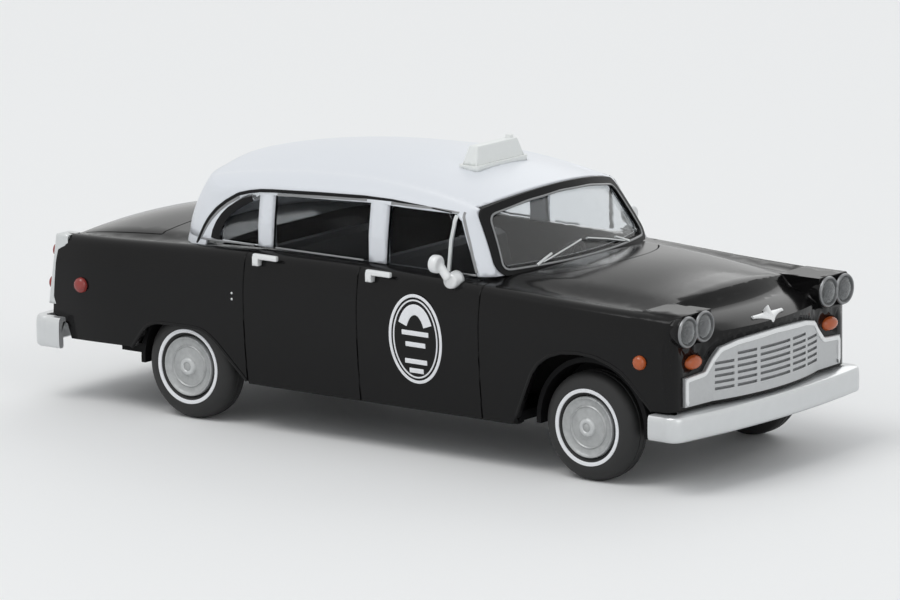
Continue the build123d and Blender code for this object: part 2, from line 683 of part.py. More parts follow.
# Side markers on the right side, one row a lamp: x, z, radius
MARKER_FRONT = (24.5, 8.95, 0.5)
MARKER_REAR = (-24.65, 8.65, 0.55)
MARKER_Y = -10.7
MARKER_LONG, MARKER_DOME = 0.7, 0.25


def marker(x, z, radius):
    """Round side marker on the right side, let into the body, its edge rounded."""
    lamp = Pos(x, MARKER_Y, z) * Rot(90, 0, 0) * Cylinder(radius, MARKER_LONG)
    return fillet(lamp.edges().sort_by(Axis.Y)[:1], MARKER_DOME)


# Tail lamps of the left side, one row a lamp: rear x, y, z
TAIL_LAMPS = [(-28.25, 9.5, 8.3), (-27.85, 9.5, 10.7)]
TAIL_LAMP_R = 0.5
TAIL_LONG, TAIL_DOME = 0.6, 0.15
# The strip that carries them from the side, as (x, z) corners, and its y limits
TAIL_STRIP = [(-28.05, 6.9), (-26.2, 6.9), (-26.2, 12.0), (-27.25, 12.0), (-27.5, 11.6), (-28.15, 7.3)]
TAIL_IN_Y, TAIL_OUT_Y = 8.8, 10.2
TAIL_BACK_X, TAIL_EASE = -27.83, 0.35


def build_tail_housing():
    """Upright lamp strip on the rear corner, left side, leaning with the rear face."""
    block = side_cut(polygon_xz(TAIL_STRIP), TAIL_IN_Y, TAIL_OUT_Y)
    back = [e for e in block.edges() if abs(e.center().X - TAIL_BACK_X) < 0.1]
    return fillet(back, TAIL_EASE)


def build_tail_lens():
    """Two round lamps, one above the other, their edges rounded."""
    lenses = []
    for x, y, z in TAIL_LAMPS:
        disc = disc_x(x, y, z, TAIL_LAMP_R, TAIL_LONG)
        lenses.append(fillet(disc.edges().sort_by(Axis.X)[:1], TAIL_DOME))
    return Compound(lenses)


# Door handles, one row a handle: name, rear end x
HANDLES = [("handle_front", 1.35), ("handle_rear", -8.66)]
HANDLE_OUT_Y = -11.1
HANDLE_IN_Y = -10.2
HANDLE_LENGTH = 2.12
FOOT_LENGTH, FOOT_LOW = 0.5, 11.95
GRIP_IN_Y, GRIP_LOW, GRIP_TOP, GRIP_EASE = -10.75, 12.42, 12.8, 0.1


def build_handle(x):
    """L-shaped door handle, right side: foot at the rear and a grip forward of it."""
    foot = slab(x, x + FOOT_LENGTH, HANDLE_OUT_Y, HANDLE_IN_Y, FOOT_LOW, GRIP_TOP - 2 * GRIP_EASE)
    grip = slab(x, x + HANDLE_LENGTH, HANDLE_OUT_Y, GRIP_IN_Y, GRIP_LOW, GRIP_TOP)
    return fillet(grip.edges(), GRIP_EASE) + foot


# Door mirror, right side: middle of each part, then its size
MIRROR_HEAD, HEAD_R, HEAD_LONG, HEAD_EASE = (7.65, -11.22, 13.93), 0.63, 0.7, 0.22
MIRROR_FOOT, FOOT_R, FOOT_END_R, FOOT_LONG = (8.52, -10.45, 12.76), 0.64, 0.5, 0.9
MIRROR_NECK, NECK_R, NECK_LONG, NECK_LEAN = (8.1, -10.95, 13.38), 0.31, 1.3, -41


def build_mirror():
    """Door mirror, right side: a round head on a short neck over a stout rounded foot."""
    head = Pos(*MIRROR_HEAD) * Rot(0, 90, 0) * Cylinder(HEAD_R, HEAD_LONG)
    head = fillet(head.edges(), HEAD_EASE)
    foot = Pos(*MIRROR_FOOT) * Rot(90, 0, 0) * Cone(FOOT_R, FOOT_END_R, FOOT_LONG)
    neck = Pos(*MIRROR_NECK) * Rot(0, NECK_LEAN, 0) * Cylinder(NECK_R, NECK_LONG)
    return head + foot + neck


# Roof sign: a box that tapers upwards, each end as length along the cab and width across it
SIGN_X = 4.1
SIGN_LOW, SIGN_TOP = 19.15, 20.45
SIGN_BOTTOM_SIZE, SIGN_TOP_SIZE, SIGN_EASE = (1.3, 5.6), (0.75, 4.6), 0.15
KNOB_Y, KNOB_R, KNOB_TALL = 1.85, 0.28, 0.36
BASE_HALF_X, BASE_HALF_Y, BASE_LOW, BASE_CORNER = 0.85, 3.0, 18.0, 0.35


def build_sign():
    """Blank roof sign: a tapering box across the roof with a small knob on its far end."""
    bottom = Pos(SIGN_X, 0, SIGN_LOW) * Rectangle(*SIGN_BOTTOM_SIZE)
    top = Pos(SIGN_X, 0, SIGN_TOP) * Rectangle(*SIGN_TOP_SIZE)
    box = loft([bottom, top])
    box = fillet([e for e in box.edges() if e.center().Z > SIGN_LOW + 0.1], SIGN_EASE)
    return box + Pos(SIGN_X, KNOB_Y, SIGN_TOP) * Cylinder(KNOB_R, KNOB_TALL)


def build_sign_base():
    """Foot plate of the sign, shaped to the roof."""
    base = slab(SIGN_X - BASE_HALF_X, SIGN_X + BASE_HALF_X, -BASE_HALF_Y, BASE_HALF_Y, BASE_LOW, SIGN_LOW)
    return fillet([e for e in base.edges() if abs(e.tangent_at(0).Z) > 0.99], BASE_CORNER)


# Bonnet ornament: half outline of its wings as (x, y) corners, then the fin's box
WING_HALF = [(0.6, 0), (0.3, 0.5), (0.02, 1.75), (-0.3, 1.65), (-0.35, 0.5), (-0.45, 0)]
WING_LOW, WING_THICK = -0.3, 0.56
FIN = (-0.5, 0.42, -0.2, 0.2, WING_LOW, 0.72)
ORNAMENT_AT = (27.55, 0, 10.76)
ORNAMENT_TILT = 32


def build_ornament():
    """Small plain winged ornament on the slope over the grille."""
    points = WING_HALF + [(x, -y) for x, y in reversed(WING_HALF[1:-1])]
    ring = points + points[:1]
    wing = Face(Wire([Line((a[0], a[1], WING_LOW), (b[0], b[1], WING_LOW)) for a, b in zip(ring, ring[1:])]))
    badge = extrude(wing, amount=WING_THICK, dir=(0, 0, 1)) + slab(*FIN)
    return Pos(*ORNAMENT_AT) * Rot(0, ORNAMENT_TILT, 0) * badge


# Steering wheel on its raked column
STEER_AT, STEER_RAKE = (6.9, 4.4, 11.2), -62
STEER_R, STEER_RIM = 1.9, 0.16
STEER_SPOKE = (3.6, 0.3, 0.2)
COLUMN_R, COLUMN_LONG = 0.22, 2.4


def build_steering_wheel():
    """Rim with one broad spoke on a column that runs into the dashboard."""
    column = Pos(0, 0, -COLUMN_LONG / 2) * Cylinder(COLUMN_R, COLUMN_LONG)
    wheel = Torus(STEER_R, STEER_RIM) + Box(*STEER_SPOKE) + column
    return Pos(*STEER_AT) * Rot(0, STEER_RAKE, 0) * wheel


# Assembly: what sits in or on another piece is cut to it, so the faces meet
def both_sides(name, piece, nodes):
    """Adds a piece drawn on either side and its mirror image as two nodes."""
    drawn_left = piece.center().Y > 0
    nodes[name + "_left"] = piece if drawn_left else mirror_y(piece)
    nodes[name + "_right"] = mirror_y(piece) if drawn_left else piece


def build_nodes():
    """All pieces by node name."""
    nodes = {}
    chassis = build_chassis()
    plate = grille_plate()
    grille = build_grille(plate)
    lens = build_headlamp_lens()
    bezel = build_headlamp_bezel()
    signal = build_signal() - bezel
    front_marker = marker(*MARKER_FRONT)
    rear_marker = marker(*MARKER_REAR)

    body = build_body() - chassis - plate
    for piece in (bezel, lens, signal, front_marker, rear_marker):
        body = body - piece - mirror_y(piece)

    shell = walls(0) & crown(0)
    roof = build_greenhouse()
    frame = end_window(*SCREEN_FRAME) - end_window(*SCREEN)
    surround = (walls(-SEAL_PROUD) - walls(REBATE)) & frame
    surround &= slab(*SCREEN[:2], -BEYOND_Y, BEYOND_Y, BELT_Z, ABOVE_Z + 3.6) & crown(-REBATE)
    roof -= surround
    surround -= body

    nodes["body_lower"] = body
    nodes["roof_moulding"] = roof
    nodes["windscreen_surround"] = surround
    pane = walls(PANE_OUT) - walls(PANE_IN)
    nodes["windscreen_glass"] = pane & end_window(*SCREEN)
    nodes["rear_window_glass"] = pane & end_window(*BACKLIGHT)
    layer = (walls(REBATE) - walls(WALL)) & slab(-20, 12, -BEYOND_Y, BEYOND_Y, BELT_Z, 18)
    panes = [layer & cut for cut in side_windows()]
    nodes["side_glass_right"] = Compound(panes[:3])
    nodes["side_glass_left"] = Compound(panes[3:])

    dash = build_dash()
    nodes["chassis_plate"] = chassis
    nodes["cabin_floor"] = slab(*FLOOR_BOX, CHASSIS_TOP, FLOOR_TOP)
    for name, *sizes in BENCHES:
        nodes[name] = bench(*sizes)
    nodes["dashboard"] = dash
    nodes["steering_wheel"] = build_steering_wheel() - dash

    nodes["grille"] = grille
    nodes["bumper_front"] = bumper(*BUMPER_FRONT) - chassis
    nodes["bumper_rear"] = mirror(bumper(*BUMPER_REAR), Plane.YZ) - chassis - body
    both_sides("headlamp_bezel", bezel - lens, nodes)
    both_sides("headlamp_lens", lens, nodes)
    both_sides("turn_lamp", signal, nodes)
    both_sides("marker_front", front_marker, nodes)
    both_sides("marker_rear", rear_marker, nodes)
    tail_lens = build_tail_lens()
    both_sides("tail_lamp_housing", build_tail_housing() - tail_lens - body, nodes)
    both_sides("tail_lamp_lens", tail_lens, nodes)
    for name, x in HANDLES:
        both_sides(name, build_handle(x) - body, nodes)
    both_sides("door_mirror", build_mirror() - body - roof, nodes)
    nodes["roof_sign_base"] = build_sign_base() - shell
    nodes["roof_sign"] = build_sign()
    nodes["bonnet_ornament"] = build_ornament() - body - grille

    for end, x in (("front", FRONT_X), ("rear", REAR_X)):
        nodes["axle_pin_" + end] = build_pin(x)
        both_sides("wheel_" + end, round_piece(WHEEL_SECTION, x), nodes)
        both_sides("tyre_" + end, round_piece(TYRE_SECTION, x), nodes)
    return nodes


os.makedirs("parts", exist_ok=True)
for name, shape in build_nodes().items():
    export_step(Pos(DATUM_AHEAD, 0, 0) * shape, "parts/%s.step" % name)
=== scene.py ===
import math

import bmesh
import bpy
import numpy as np
from mathutils import Matrix, Vector
from mathutils.bvhtree import BVHTree


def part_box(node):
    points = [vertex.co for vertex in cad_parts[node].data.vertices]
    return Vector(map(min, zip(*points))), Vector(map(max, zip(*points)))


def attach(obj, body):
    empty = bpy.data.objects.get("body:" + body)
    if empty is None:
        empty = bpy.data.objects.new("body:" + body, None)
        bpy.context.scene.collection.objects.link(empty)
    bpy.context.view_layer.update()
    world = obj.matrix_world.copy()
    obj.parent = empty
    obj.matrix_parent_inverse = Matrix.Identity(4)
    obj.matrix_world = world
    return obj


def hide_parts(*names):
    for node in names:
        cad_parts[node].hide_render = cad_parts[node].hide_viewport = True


# Finish of a miniature taxi cab: gloss black body, white roof, silver print, clear windows.
# Metres. +X is forward, +Y is the cab's left, +Z is up, and Z = 0 is what it stands on.

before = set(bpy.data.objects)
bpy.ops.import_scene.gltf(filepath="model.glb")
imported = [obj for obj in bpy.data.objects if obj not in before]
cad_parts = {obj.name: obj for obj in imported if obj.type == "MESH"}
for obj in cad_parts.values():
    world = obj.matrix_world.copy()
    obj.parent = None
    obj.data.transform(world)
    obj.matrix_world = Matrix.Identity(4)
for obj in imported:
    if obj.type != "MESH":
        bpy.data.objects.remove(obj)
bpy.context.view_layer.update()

bl_info = {
    "name": "Miniature Taxi Cab Finish",
    "version": (1, 0, 0),
    "blender": (4, 5, 0),
    "location": "View3D > Sidebar > Taxi Cab",
    "description": "Finishes, wheels, lamps, trim and stage of a miniature taxi cab",
    "category": "Object",
}

MM = 0.001
SIDES = (("right", -1), ("left", 1))
ENDS = ("front", "rear")

# Photograph's camera: azimuth, elevation and roll in degrees, metres from the target, lens and sensor in mm
CAMERA_AZIMUTH = 37.617
CAMERA_ELEVATION = 11.385
CAMERA_ROLL = -0.476
CAMERA_DISTANCE = 0.594067
CAMERA_TARGET = Vector((0.483, 0.0, 8.697)) * MM
CAMERA_LENS = 338.56
SENSOR = 36.0


def centre_of(node):
    """Middle of a node's box."""
    low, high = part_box(node)
    return (low + high) / 2


WHEEL_CENTRES = {end: centre_of("tyre_%s_right" % end) for end in ENDS}
TYRE_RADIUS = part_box("tyre_front_right")[1].z / 2
TYRE_FACE = -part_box("tyre_front_right")[0].y


# Sizes and colours that a user would change
def size_property(name, description, default):
    """Length setting of the finish, given in mm."""
    return bpy.props.FloatProperty(name=name, description=description, default=default * MM, unit="LENGTH")


class CabSizes(bpy.types.PropertyGroup):
    """Sizes of what the finish adds."""

    ring_inner: size_property("White ring inside", "Inner radius of the tyres' white ring", 2.42)
    ring_outer: size_property("White ring outside", "Outer radius of the tyres' white ring", 2.68)
    wiper_width: size_property("Wiper width", "Width of a wiper arm", 0.22)
    line_width: size_property("Badge line", "Width of the badge's printed lines", 0.22)


def colour_property(name, description, default):
    """Colour setting of the finish."""
    return bpy.props.FloatVectorProperty(
        name=name, description=description, default=default, subtype="COLOR", size=3, min=0.0, max=1.0)


class CabColours(bpy.types.PropertyGroup):
    """Colours of the finish."""

    body: colour_property("Body", "Black moulded body", (0.0055, 0.0053, 0.0055))
    roof: colour_property("Roof", "Cool white roof and pillars", (0.735, 0.76, 0.795))
    sign: colour_property("Sign", "Off-white roof sign", (0.80, 0.82, 0.80))
    silver: colour_property("Silver print", "Bumpers, grille and trims", (0.66, 0.68, 0.68))
    hub: colour_property("Hub caps", "Silver grey wheels", (0.42, 0.43, 0.43))
    rubber: colour_property("Rubber", "Tyres and window seals", (0.016, 0.016, 0.016))
    amber: colour_property("Amber", "Turn lamps and front markers", (0.42, 0.085, 0.018))
    red: colour_property("Red", "Rear lamps and markers", (0.27, 0.035, 0.03))
    cabin: colour_property("Cabin", "Dark grey interior", (0.03, 0.03, 0.032))
    print_white: colour_property("White print", "Ring, badge and lines", (0.82, 0.83, 0.85))
    floor: colour_property("Floor", "Pale studio floor", (0.885, 0.888, 0.88))


# Materials
def add_node(tree, kind, inputs=None, **settings):
    """New shader node with its settings and the values of its inputs."""
    made = tree.nodes.new("ShaderNode" + kind)
    for key, value in settings.items():
        setattr(made, key, value)
    for key, value in (inputs or {}).items():
        made.inputs[key].default_value = value
    return made


def wire(tree, *links):
    """Links nodes by rows of a node, its output, another node and its input."""
    for start, output, end, entry in links:
        tree.links.new(start.outputs[output], end.inputs[entry])


def tinted(name, shades, grain_mm, detail, sockets):
    """Principled material whose colour runs between two shades by noise in the object's own coordinates."""
    material = bpy.data.materials.new(name)
    material.use_nodes = True
    tree = material.node_tree
    shader = tree.nodes["Principled BSDF"]
    for socket, value in sockets.items():
        shader.inputs[socket].default_value = value
    spot = add_node(tree, "TexCoord")
    broad = add_node(tree, "TexNoise", {"Scale": 1.0 / (grain_mm * MM), "Detail": detail})
    mix = add_node(tree, "Mix", data_type="RGBA")
    for socket, shade in zip("AB", shades):
        mix.inputs[socket].default_value = (*shade, 1.0)
    wire(tree, (spot, "Object", broad, "Vector"), (broad, "Fac", mix, "Factor"),
         (mix, "Result", shader, "Base Color"))
    return material, shader, spot, broad


def finish_of(name, colour, rough, metallic=0.0, grain_mm=0.5, tone=0.06, rough_spread=0.05, bump_mm=0.004,
              fine_mm=None, **sockets):
    """Opaque finish whose tone, roughness and height vary by noise."""
    shades = [[min(c * (1 + turn * tone), 1.0) for c in colour] for turn in (-1, 1)]
    named = {key.replace("_", " "): value for key, value in sockets.items()}
    material, shader, spot, broad = tinted(name, shades, grain_mm, 4.0, {"Metallic": metallic, **named})
    tree = material.node_tree
    low, high = max(rough - rough_spread, 0.02), rough + rough_spread
    spread = add_node(tree, "MapRange", {"To Min": low, "To Max": high})
    fine = add_node(tree, "TexNoise", {"Scale": 1.0 / ((fine_mm or grain_mm / 4) * MM), "Detail": 3.0})
    bump = add_node(tree, "Bump", {"Strength": 0.6, "Distance": bump_mm * MM})
    wire(tree, (broad, "Fac", spread, "Value"), (spread, "Result", shader, "Roughness"),
         (spot, "Object", fine, "Vector"), (fine, "Fac", bump, "Height"), (bump, "Normal", shader, "Normal"))
    return material


def clear_finish(name, tint, rough, bending=1.49):
    """Clear moulded plastic with a faint haze; a low bending keeps what is behind a thin pane crisp."""
    sockets = {"Roughness": rough, "IOR": bending, "Transmission Weight": 1.0}
    return tinted(name, ([c * 0.94 for c in tint], tint), 1.6, 2.0, sockets)[0]


FINISH = {}


def mix_finishes(colours):
    """Every finish of the cab, by the name that the pieces use."""
    FINISH.update({
        "body": finish_of("gloss black plastic", colours.body, 0.14, grain_mm=2.2, tone=0.12,
                          rough_spread=0.03, bump_mm=0.0012, fine_mm=0.4, Specular_IOR_Level=0.2),
        "roof": finish_of("cool white paint", colours.roof, 0.36, grain_mm=2.5, tone=0.012,
                          rough_spread=0.04, bump_mm=0.003, fine_mm=0.3),
        "sign": finish_of("off-white sign plastic", colours.sign, 0.4, grain_mm=0.9, tone=0.02,
                          bump_mm=0.003),
        "silver": finish_of("silver print", colours.silver, 0.36, metallic=0.55, grain_mm=0.35, tone=0.05,
                            rough_spread=0.06, fine_mm=0.06),
        "chrome": finish_of("bumper silver", (0.66, 0.675, 0.68), 0.3, metallic=0.6, grain_mm=0.9, tone=0.04,
                            bump_mm=0.003, fine_mm=0.1),
        # The grille's plate is the silver made darker as painted shade; the bead's lighter silver is a
        # painted highlight.
        "plate": finish_of("grille silver darkened as painted shade", (0.50, 0.51, 0.515), 0.36, metallic=0.55, grain_mm=0.3, tone=0.07,
                           rough_spread=0.07, fine_mm=0.06),
        "hub": finish_of("silver grey wheel paint", colours.hub, 0.42, metallic=0.5, grain_mm=0.34, tone=0.24,
                         bump_mm=0.03, fine_mm=0.16),
        # The boss ring is the hub's paint made lighter: a painted highlight on the raised ring.
        "boss": finish_of("hub paint lightened as painted highlight", [c * 1.35 for c in colours.hub], 0.4, metallic=0.35, grain_mm=0.2,
                          tone=0.12, bump_mm=0.008, fine_mm=0.1),
        "rubber": finish_of("tyre rubber", colours.rubber, 0.62, grain_mm=0.6, tone=0.25, bump_mm=0.006,
                            fine_mm=0.08),
        "seal": finish_of("window seal rubber", (0.008, 0.008, 0.0085), 0.42, tone=0.2,
                          Specular_IOR_Level=0.14),
        "chassis": finish_of("matt chassis plastic", (0.007, 0.007, 0.0075), 0.6, grain_mm=0.7, tone=0.2,
                             bump_mm=0.008, fine_mm=0.12, Specular_IOR_Level=0.12),
        "cabin": finish_of("interior plastic", colours.cabin, 0.55, tone=0.2, bump_mm=0.008),
        "steel": finish_of("steel pin", (0.55, 0.55, 0.56), 0.3, metallic=1.0, grain_mm=0.2, bump_mm=0.002),
        "print": finish_of("white print", colours.print_white, 0.5, grain_mm=0.25, tone=0.05, bump_mm=0.003),
        # Dark grey strips in the grille's slots: painted shade.
        "dark": finish_of("painted slot shade", (0.19, 0.195, 0.2), 0.5, grain_mm=0.3, tone=0.25),
        "amber": finish_of("amber lamp paint", colours.amber, 0.22, grain_mm=0.3, tone=0.18,
                           Coat_Weight=0.15, Coat_Roughness=0.1),
        "red": finish_of("red lamp paint", colours.red, 0.22, grain_mm=0.3, tone=0.18,
                         Coat_Weight=0.15, Coat_Roughness=0.1),
        "glass": clear_finish("clear window plastic", (0.93, 0.95, 0.96), 0.03),
        "pane": clear_finish("side window plastic", (0.80, 0.82, 0.84), 0.03, 1.14),
        "foil": finish_of("window line foil", (0.27, 0.275, 0.28), 0.36, metallic=0.7, grain_mm=0.3, tone=0.1,
                          rough_spread=0.08, fine_mm=0.06),
        "rim": finish_of("lamp rim silver", (0.24, 0.245, 0.25), 0.3, metallic=0.75, grain_mm=0.25, tone=0.1,
                         fine_mm=0.06),
        "bright": finish_of("bright silver paint", (0.80, 0.81, 0.81), 0.38, metallic=0.2, grain_mm=0.3,
                            tone=0.05, fine_mm=0.06),
        "bowl": finish_of("lamp bowl silver", (0.10, 0.103, 0.105), 0.32, metallic=0.6, grain_mm=0.3,
                          tone=0.2),
        "lens": clear_finish("clear lamp plastic", (0.80, 0.82, 0.83), 0.06),
    })


# Outer skin of the body and its cabin, from the construction's own tables, in mm
DATUM = 0.3
BODY_HALF = 10.9
HULL_LOW = 2.8
WIDE_Z = 9.9
SILL_TUCK = 0.55
# x, half width, fender crown z, valley y, valley z, lid edge y, lid edge z, middle z
SECTIONS = (
    (-28.0, 10.20, 11.90, 8.60, 11.50, 7.30, 11.50, 11.80),
    (-25.0, 10.60, 12.10, 8.60, 11.85, 7.40, 12.15, 12.65),
    (-19.0, 10.82, 12.35, 8.70, 12.20, 7.50, 12.65, 13.10),
    (-11.0, BODY_HALF, 12.72, 8.80, 12.75, 7.60, 12.92, 13.10),
    (-1.0, BODY_HALF, 12.90, 8.90, 13.00, 7.60, 13.05, 13.10),
    (9.0, BODY_HALF, 12.75, 8.80, 12.85, 7.50, 13.05, 13.20),
    (15.5, 10.87, 12.48, 8.60, 12.45, 6.90, 12.98, 13.42),
    (21.5, 10.75, 12.28, 8.40, 12.05, 6.20, 12.62, 13.20),
    (28.6, 10.35, 11.95, 8.20, 11.52, 5.40, 11.95, 12.45),
)
# z, nose x, front corner x, front corner y, half width, rear corner x, rear corner radius, tail x
LEVELS = np.array((
    (12.0, 13.02, 11.42, 8.95, 9.64, -13.83, 4.05, -18.92),
    (13.0, 12.5, 10.9, 8.75, 9.55, -13.6, 4.0, -18.6),
    (15.2, 11.35, 9.75, 8.30, 9.35, -13.1, 3.9, -17.9),
    (17.0, 10.2, 8.6, 7.85, 9.10, -12.2, 3.8, -16.8),
    (19.6, 8.6, 7.0, 7.10, 8.70, -10.2, 3.6, -14.4),
))
CORNER_BACK = 1.3
SIDE_BOW = 0.12


def bowed(p, q, bulge, steps=24):
    """Flat bow from p to q: the straight run plus 4 b t (1 - t) to the left of it."""
    p, q = np.asarray(p, float), np.asarray(q, float)
    t = np.linspace(0, 1, steps, endpoint=False)[:, None]
    run = q - p
    left = np.array([-run[1], run[0]]) / np.linalg.norm(run)
    return p + run * t + left * (4 * bulge * t * (1 - t))


def half_section(row):
    """Half of a body section as (y, z), from the sill over the fender to the middle line."""
    _, half, crown, valley_y, valley_z, lid_y, lid_z, middle = row
    corners = [(half - SILL_TUCK, HULL_LOW), (half, WIDE_Z), (half - 0.25, crown - 0.8), (half - 1.0, crown),
               (valley_y, valley_z), (lid_y, lid_z)]
    runs = [bowed(a, b, bulge) for a, b, bulge in zip(corners, corners[1:], (-0.12, -0.04, -0.2, 0.0, 0.0))]
    y = np.linspace(lid_y, 0, 33)
    lid = np.stack([y, middle - (middle - lid_z) * (y / lid_y) ** 2], 1)
    return np.concatenate(runs + [lid])


def spline(known, rows, x):
    """Natural cubic spline through rows at known stations, read at x: second slopes solve a banded system."""
    known = np.asarray(known, float)
    flat = np.asarray(rows, float).reshape(len(known), -1)
    gap = np.diff(known)
    i = np.arange(1, len(known) - 1)
    system = np.eye(len(known))
    system[i, i - 1], system[i, i], system[i, i + 1] = gap[:-1], 2 * (gap[:-1] + gap[1:]), gap[1:]
    right = np.zeros_like(flat)
    slope = np.diff(flat, axis=0) / gap[:, None]
    right[i] = 6 * np.diff(slope, axis=0)
    second = np.linalg.solve(system, right)
    k = np.clip(np.searchsorted(known, x) - 1, 0, len(gap) - 1)
    b = ((x - known[k]) / gap[k])[:, None]
    a = 1 - b
    bend = ((a ** 3 - a) * second[k] + (b ** 3 - b) * second[k + 1]) * (gap[k] ** 2 / 6)[:, None]
    return (a * flat[k] + b * flat[k + 1] + bend).reshape(len(x), *np.shape(rows)[1:])


def even(points, count):
    """The same line at equal steps of length."""
    length = np.concatenate([[0], np.cumsum(np.linalg.norm(np.diff(points, axis=0), axis=1))])
    at = np.linspace(0, length[-1], count)
    return np.stack([np.interp(at, length, column) for column in points.T], 1)


def blurred(rows, reach, mirrored_end):
    """Rows averaged along their second axis with a bell curve, the far end continued by its mirror image."""
    size = 3 * reach
    start = np.repeat(rows[:, :1], size, 1)
    end = rows[:, -2:-size - 2:-1] * mirrored_end
    padded = np.concatenate([start, rows, end], 1)
    weights = np.exp(-0.5 * (np.arange(-size, size + 1) / reach) ** 2)
    total = sum(w * padded[:, i:i + rows.shape[1]] for i, w in enumerate(weights))
    return total / np.linalg.norm(total, axis=2, keepdims=True)


STATIONS = np.linspace(-28.4, 28.9, 240)
ACROSS = 220


def body_skin():
    """Outer skin on the +Y half: half sections run lengthwise by splines, with normals softened across."""
    rows = spline([row[0] for row in SECTIONS], [half_section(row) for row in SECTIONS], STATIONS)
    yz = np.stack([even(row, ACROSS) for row in rows])
    x = np.broadcast_to((STATIONS + DATUM)[:, None, None], (*yz.shape[:2], 1))
    skin = np.concatenate([x, yz], 2)
    normal = np.cross(np.gradient(skin, axis=1), np.gradient(skin, axis=0))
    normal /= np.linalg.norm(normal, axis=2, keepdims=True)
    return skin, blurred(normal, 3, np.array([1, -1, 1]))


SKIN, SKIN_NORMAL = body_skin()


def beside_skin(points):
    """Softened skin normal beside each point in mm, and the point's distance from the skin."""
    step = STATIONS[1] - STATIONS[0]
    at = np.clip((points[:, 0] - DATUM - STATIONS[0]) / step, 0, len(STATIONS) - 1.001)
    i = at.astype(int)
    f = (at - i)[:, None, None]
    line = SKIN[i, :, 1:] * (1 - f) + SKIN[i + 1, :, 1:] * f
    normal = SKIN_NORMAL[i] * (1 - f) + SKIN_NORMAL[i + 1] * f
    flat = np.stack([np.abs(points[:, 1]), points[:, 2]], 1)
    j = np.argmin(((line - flat[:, None]) ** 2).sum(2), 1)
    n = np.arange(len(points))
    low = np.clip(j - 1, 0, ACROSS - 2)
    tried = []
    for k in (low, np.clip(j, 0, ACROSS - 2)):
        run = line[n, k + 1] - line[n, k]
        t = np.clip(((flat - line[n, k]) * run).sum(1) / (run ** 2).sum(1), 0, 1)[:, None]
        away = np.linalg.norm(line[n, k] + run * t - flat, axis=1)
        tried.append((normal[n, k] * (1 - t) + normal[n, k + 1] * t, away))
    (turned, away), (other, far) = tried
    turned = np.where((far < away)[:, None], other, turned)
    away = np.minimum(away, far)
    turned[:, 1] *= np.where(points[:, 1] < 0, -1, 1)
    return turned / np.linalg.norm(turned, axis=1, keepdims=True), away


def arc_through(a, m, b, steps=12):
    """Circular arc from a through m to b, from the circle's middle and its three angles."""
    a, m, b = (np.asarray(p, float) for p in (a, m, b))
    system = 2 * np.array([m - a, b - a])
    middle = np.linalg.solve(system, np.array([m @ m - a @ a, b @ b - a @ a]))
    angles = np.unwrap([math.atan2(*(p - middle)[::-1]) for p in (a, m, b)])
    t = np.linspace(angles[0], angles[2], steps, endpoint=False)
    return middle + np.linalg.norm(a - middle) * np.stack([np.cos(t), np.sin(t)], 1)


def wall_outline(z):
    """Cabin wall's outer line at height z on the +Y half, as (x, y) from the nose round to the tail."""
    level = [np.interp(z, LEVELS[:, 0], column) for column in LEVELS[:, 1:].T]
    nose, corner_x, corner_y, half, turn, radius, tail = level
    back = corner_x - CORNER_BACK
    y = np.linspace(0, corner_y, 24, endpoint=False)
    front = np.stack([nose - (nose - corner_x) * (y / corner_y) ** 2, y], 1)
    shoulder = (corner_x - CORNER_BACK * 0.38, corner_y * 0.42 + half * 0.58)
    corner = arc_through((corner_x, corner_y), shoulder, (back, half))
    side = bowed((back, half), (turn, half), -SIDE_BOW, 40)
    t = np.linspace(math.pi / 2, math.pi, 16, endpoint=False)
    rear = np.stack([turn + radius * np.cos(t), half - radius + radius * np.sin(t)], 1)
    y = np.linspace(half - radius, 0, 24)
    end = np.stack([tail + (turn - radius - tail) * (y / (half - radius)) ** 2, y], 1)
    return np.concatenate([front, corner, side, rear, end]) + (DATUM, 0)


def bilinear(rows, columns, table, u, v):
    """Value of a table over even rows and columns at (u, v), mixed from its four neighbours."""
    a = np.clip((np.asarray(u, float) - rows[0]) / (rows[1] - rows[0]), 0, len(rows) - 1.001)
    b = np.clip((np.asarray(v, float) - columns[0]) / (columns[1] - columns[0]), 0, len(columns) - 1.001)
    i, j = a.astype(int), b.astype(int)
    a, b = a - i, b - j
    return ((table[i, j] * (1 - b) + table[i, j + 1] * b) * (1 - a)
            + (table[i + 1, j] * (1 - b) + table[i + 1, j + 1] * b) * a)


WALL_Z = np.linspace(13.0, 18.4, 28)
WALL_X = np.linspace(-15.5, 11.5, 180)
WALL_Y = np.linspace(0.0, 8.6, 60)
OUTLINES = [wall_outline(z) for z in WALL_Z]
SIDE_OF_WALL = np.stack([np.interp(WALL_X, line[::-1, 0], line[::-1, 1]) for line in OUTLINES])
FRONT_OF_WALL, REAR_OF_WALL = (
    np.stack([np.interp(WALL_Y, line[part, 1], line[part, 0]) for line in OUTLINES])
    for part in (slice(60), slice(None, -45, -1)))
DOOR_Z = np.linspace(3.0, 11.6, 80)
# Points across the skin that lie below the fender's crown
FENDER = 72
SIDE_OF_BODY = np.stack([np.interp(DOOR_Z, row[:FENDER, 2], row[:FENDER, 1]) for row in SKIN])


def side_wall(x, z):
    """Half width of the cabin wall."""
    return bilinear(WALL_Z, WALL_X, SIDE_OF_WALL, z, x)


def front_wall(y, z):
    """x of the windscreen's outer surface."""
    return bilinear(WALL_Z, WALL_Y, FRONT_OF_WALL, z, np.abs(y))


def rear_wall(y, z):
    """x of the rear window's outer surface."""
    return bilinear(WALL_Z, WALL_Y, REAR_OF_WALL, z, np.abs(y))


def side_body(x, z):
    """Half width of the body below its fender crown."""
    return bilinear(STATIONS + DATUM, DOOR_Z, SIDE_OF_BODY, x, z)


